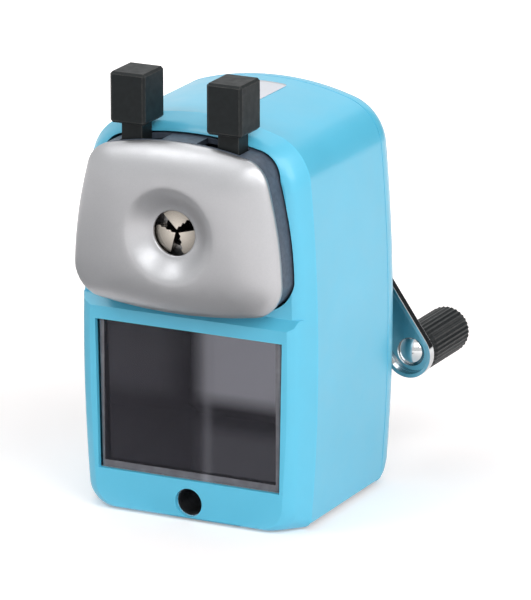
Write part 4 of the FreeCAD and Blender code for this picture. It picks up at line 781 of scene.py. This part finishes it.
class SHARPENER_OT_cutter(bpy.types.Operator):
    """Finish the partition, the gear housing and the cutter"""

    bl_idname = "sharpener.cutter"
    bl_label = "Cutter Unit"

    def execute(self, context):
        black = moulding(
            "gear moulding", colours().black, gloss=0.46, wear_and_highlight=0.3, edge_colour=colours().gear_wear_and_highlight)
        dress(("inner_frame", "ring_gear_housing"), black, sizes().sharp_edge)
        bronze = drawn_steel("sintered bronze", colours().bronze, stretch=EVEN)
        dress(("rod_bushes", "shaft_bush"), bronze, sizes().sharp_edge)
        cast = silver_lacquer("cast zinc", colours().cast_zinc, metal=0.6)
        dress(("cutter_carrier",), cast, sizes().sharp_edge)
        hard = drawn_steel("hardened steel", colours().hard_steel, stretch=(1.0, 6.0, 1.0))
        dress(("helical_cutter", "cutter_pinion", "cutter_pin", "crank_shaft"), hard)
        return {"FINISHED"}


class SHARPENER_OT_crank(bpy.types.Operator):
    """Finish the crank arm, its screw, its rivet and the grip"""

    bl_idname = "sharpener.crank"
    bl_label = "Crank"

    def execute(self, context):
        chrome = plated("chrome plate", colours().chrome, low=0.04, high=0.12)
        dress(("crank_arm", "crank_screw", "grip_rivet"), chrome, sizes().sharp_edge, merge=True)
        grip = moulding(
            "grip moulding", colours().black, gloss=0.42, wear_and_highlight=0.2, edge_colour=colours().grip_wear_and_highlight)
        dress(("handle_grip",), grip, sizes().sharp_edge)
        return {"FINISHED"}


# Stage

def backdrop_strength(tree):
    """One for what the camera sees directly, in a reflection or through clear plastic."""
    path = add(tree, "LightPath")
    total = path.outputs["Is Camera Ray"]
    for name in ("Is Glossy Ray", "Is Transmission Ray"):
        total = joined(tree, "MAXIMUM", total, path.outputs[name])
    return total


def white_world(strength):
    """World that is white to look at and lights the object with a given strength."""
    world = bpy.data.worlds.new("studio")
    world.use_nodes = True
    tree = world.node_tree
    bpy.context.scene.world = world
    background = tree.nodes["Background"]
    background.inputs["Color"].default_value = WHITE
    level = ramp(tree, backdrop_strength(tree), bottom=strength)
    tree.links.new(level, background.inputs["Strength"])


def stage_square(name, material, side):
    """Flat square that belongs to the stage."""
    half = side / 2
    mesh = bpy.data.meshes.new(name)
    corners = [(-half, -half, 0.0), (half, -half, 0.0), (half, half, 0.0), (-half, half, 0.0)]
    mesh.from_pydata(corners, [], [(0, 1, 2, 3)])
    mesh.materials.append(material)
    obj = bpy.data.objects.new(name, mesh)
    bpy.context.scene.collection.objects.link(obj)
    return obj


def pale_floor(colour, near_glow, far_glow):
    """Floor that keeps the shadow and is white where the light is open."""
    material, tree, shader = start("pale floor")
    tone = mottle(tree, colour, darker=0.99, lighter=1.01, scale=6.0)
    tree.links.new(tone, shader.inputs["Base Color"])
    shader.inputs["Roughness"].default_value = 0.7
    away = measured(tree, "LENGTH", own_space(tree))
    open_floor = ramp(tree, away, GLOW_NEAR, GLOW_FAR, near_glow, far_glow)
    glow = joined(tree, "MULTIPLY", backdrop_strength(tree), open_floor)
    shader.inputs["Emission Color"].default_value = WHITE
    tree.links.new(glow, shader.inputs["Emission Strength"])
    stage_square("floor", material, FLOOR_SIDE)


def card(name, tone, place, facing, side, turn=0.0):
    """Square card that only bright surfaces mirror."""
    material, tree, shader = start(name)
    tree.links.new(mottle(tree, tone, darker=0.9, lighter=1.1, scale=8.0), shader.inputs["Base Color"])
    shader.inputs["Roughness"].default_value = 0.9
    obj = stage_square(name, material, side)
    obj.location = place
    obj.rotation_euler = Vector(facing).to_track_quat("Z", "Y").to_euler()
    obj.rotation_euler.rotate_axis("Z", turn)
    obj.visible_camera = False
    obj.visible_diffuse = False
    obj.visible_shadow = False


def mirrored_cards(turn, right):
    """Cards that shade the crank, and the left and the foot of the face plate."""
    left = right * -GREY_CARD_REACH
    left.z = GREY_CARD_LIFT
    card("dark card", colours().dark_card, DARK_CARD, DARK_CARD, DARK_CARD_SIDE)
    card("grey card", colours().grey_card, left, UPWARD, GREY_CARD_SIDE, turn)
    card("low card", colours().low_card, LOW_CARD, UPWARD, LOW_CARD_SIDE, turn)


def soft_light(name, place, side, power):
    """Square light that faces the middle of the sharpener."""
    lamp = bpy.data.lights.new(name, "AREA")
    lamp.size = side
    lamp.energy = power
    obj = bpy.data.objects.new(name, lamp)
    obj.location = place
    obj.rotation_euler = (LIT_POINT - obj.location).to_track_quat("-Z", "Y").to_euler()
    bpy.context.scene.collection.objects.link(obj)


def picture_camera(setup, right):
    """Camera of the picture, with the direction to its right given."""
    turn, lift = setup.azimuth, setup.elevation
    back = Vector((math.sin(turn) * math.cos(lift), -math.cos(turn) * math.cos(lift), math.sin(lift)))
    up = back.cross(right)
    target = Vector(setup.aim) + right * setup.slide - up * setup.drop
    lens = bpy.data.cameras.new("camera")
    lens.lens = setup.lens
    lens.sensor_width = 36.0
    lens.clip_end = 20.0
    camera = bpy.data.objects.new("camera", lens)
    camera.location = target + back * setup.distance
    camera.rotation_euler = back.to_track_quat("Z", "Y").to_euler()
    bpy.context.scene.collection.objects.link(camera)
    bpy.context.scene.camera = camera


class SHARPENER_OT_stage(bpy.types.Operator):
    """Set up the camera, the floor and the light"""

    bl_idname = "sharpener.stage"
    bl_label = "Stage"

    def execute(self, context):
        setup = studio()
        turn = setup.azimuth
        right = Vector((math.cos(turn), math.sin(turn), 0.0))
        picture_camera(setup, right)
        context.scene.view_settings.view_transform = "Standard"
        white_world(setup.sky)
        pale_floor(colours().floor, setup.floor_near, setup.floor_far)
        mirrored_cards(turn, right)
        for name, place, side in LIGHTS:
            soft_light(name + " light", place, side, getattr(setup, name))
        return {"FINISHED"}


class SHARPENER_PT_panel(bpy.types.Panel):
    """Sidebar panel with the operators and their settings"""

    bl_idname = "SHARPENER_PT_panel"
    bl_label = "Crank Pencil Sharpener"
    bl_space_type = "VIEW_3D"
    bl_region_type = "UI"
    bl_category = "Sharpener"

    def draw(self, context):
        for operator in OPERATORS:
            self.layout.operator(operator.bl_idname)
        for group in (colours(), sizes(), studio()):
            box = self.layout.box()
            for name in group.__annotations__:
                box.prop(group, name)


OPERATORS = (
    SHARPENER_OT_case,
    SHARPENER_OT_label,
    SHARPENER_OT_face_plate,
    SHARPENER_OT_carriage,
    SHARPENER_OT_tabs,
    SHARPENER_OT_jaws,
    SHARPENER_OT_drawer,
    SHARPENER_OT_cutter,
    SHARPENER_OT_crank,
    SHARPENER_OT_stage,
)
GROUPS = (
    ("sharpener_colours", SharpenerColours),
    ("sharpener_sizes", SharpenerSizes),
    ("sharpener_studio", StudioSettings),
)


def register():
    for name, group in GROUPS:
        bpy.utils.register_class(group)
        setattr(bpy.types.Scene, name, PointerProperty(type=group))
    for operator in OPERATORS:
        bpy.utils.register_class(operator)
    bpy.utils.register_class(SHARPENER_PT_panel)


def unregister():
    bpy.utils.unregister_class(SHARPENER_PT_panel)
    for operator in reversed(OPERATORS):
        bpy.utils.unregister_class(operator)
    for name, group in reversed(GROUPS):
        delattr(bpy.types.Scene, name)
        bpy.utils.unregister_class(group)


def main():
    register()
    for operator in OPERATORS:
        family, action = operator.bl_idname.split(".")
        getattr(getattr(bpy.ops, family), action)()


if __name__ == "__main__":
    main()
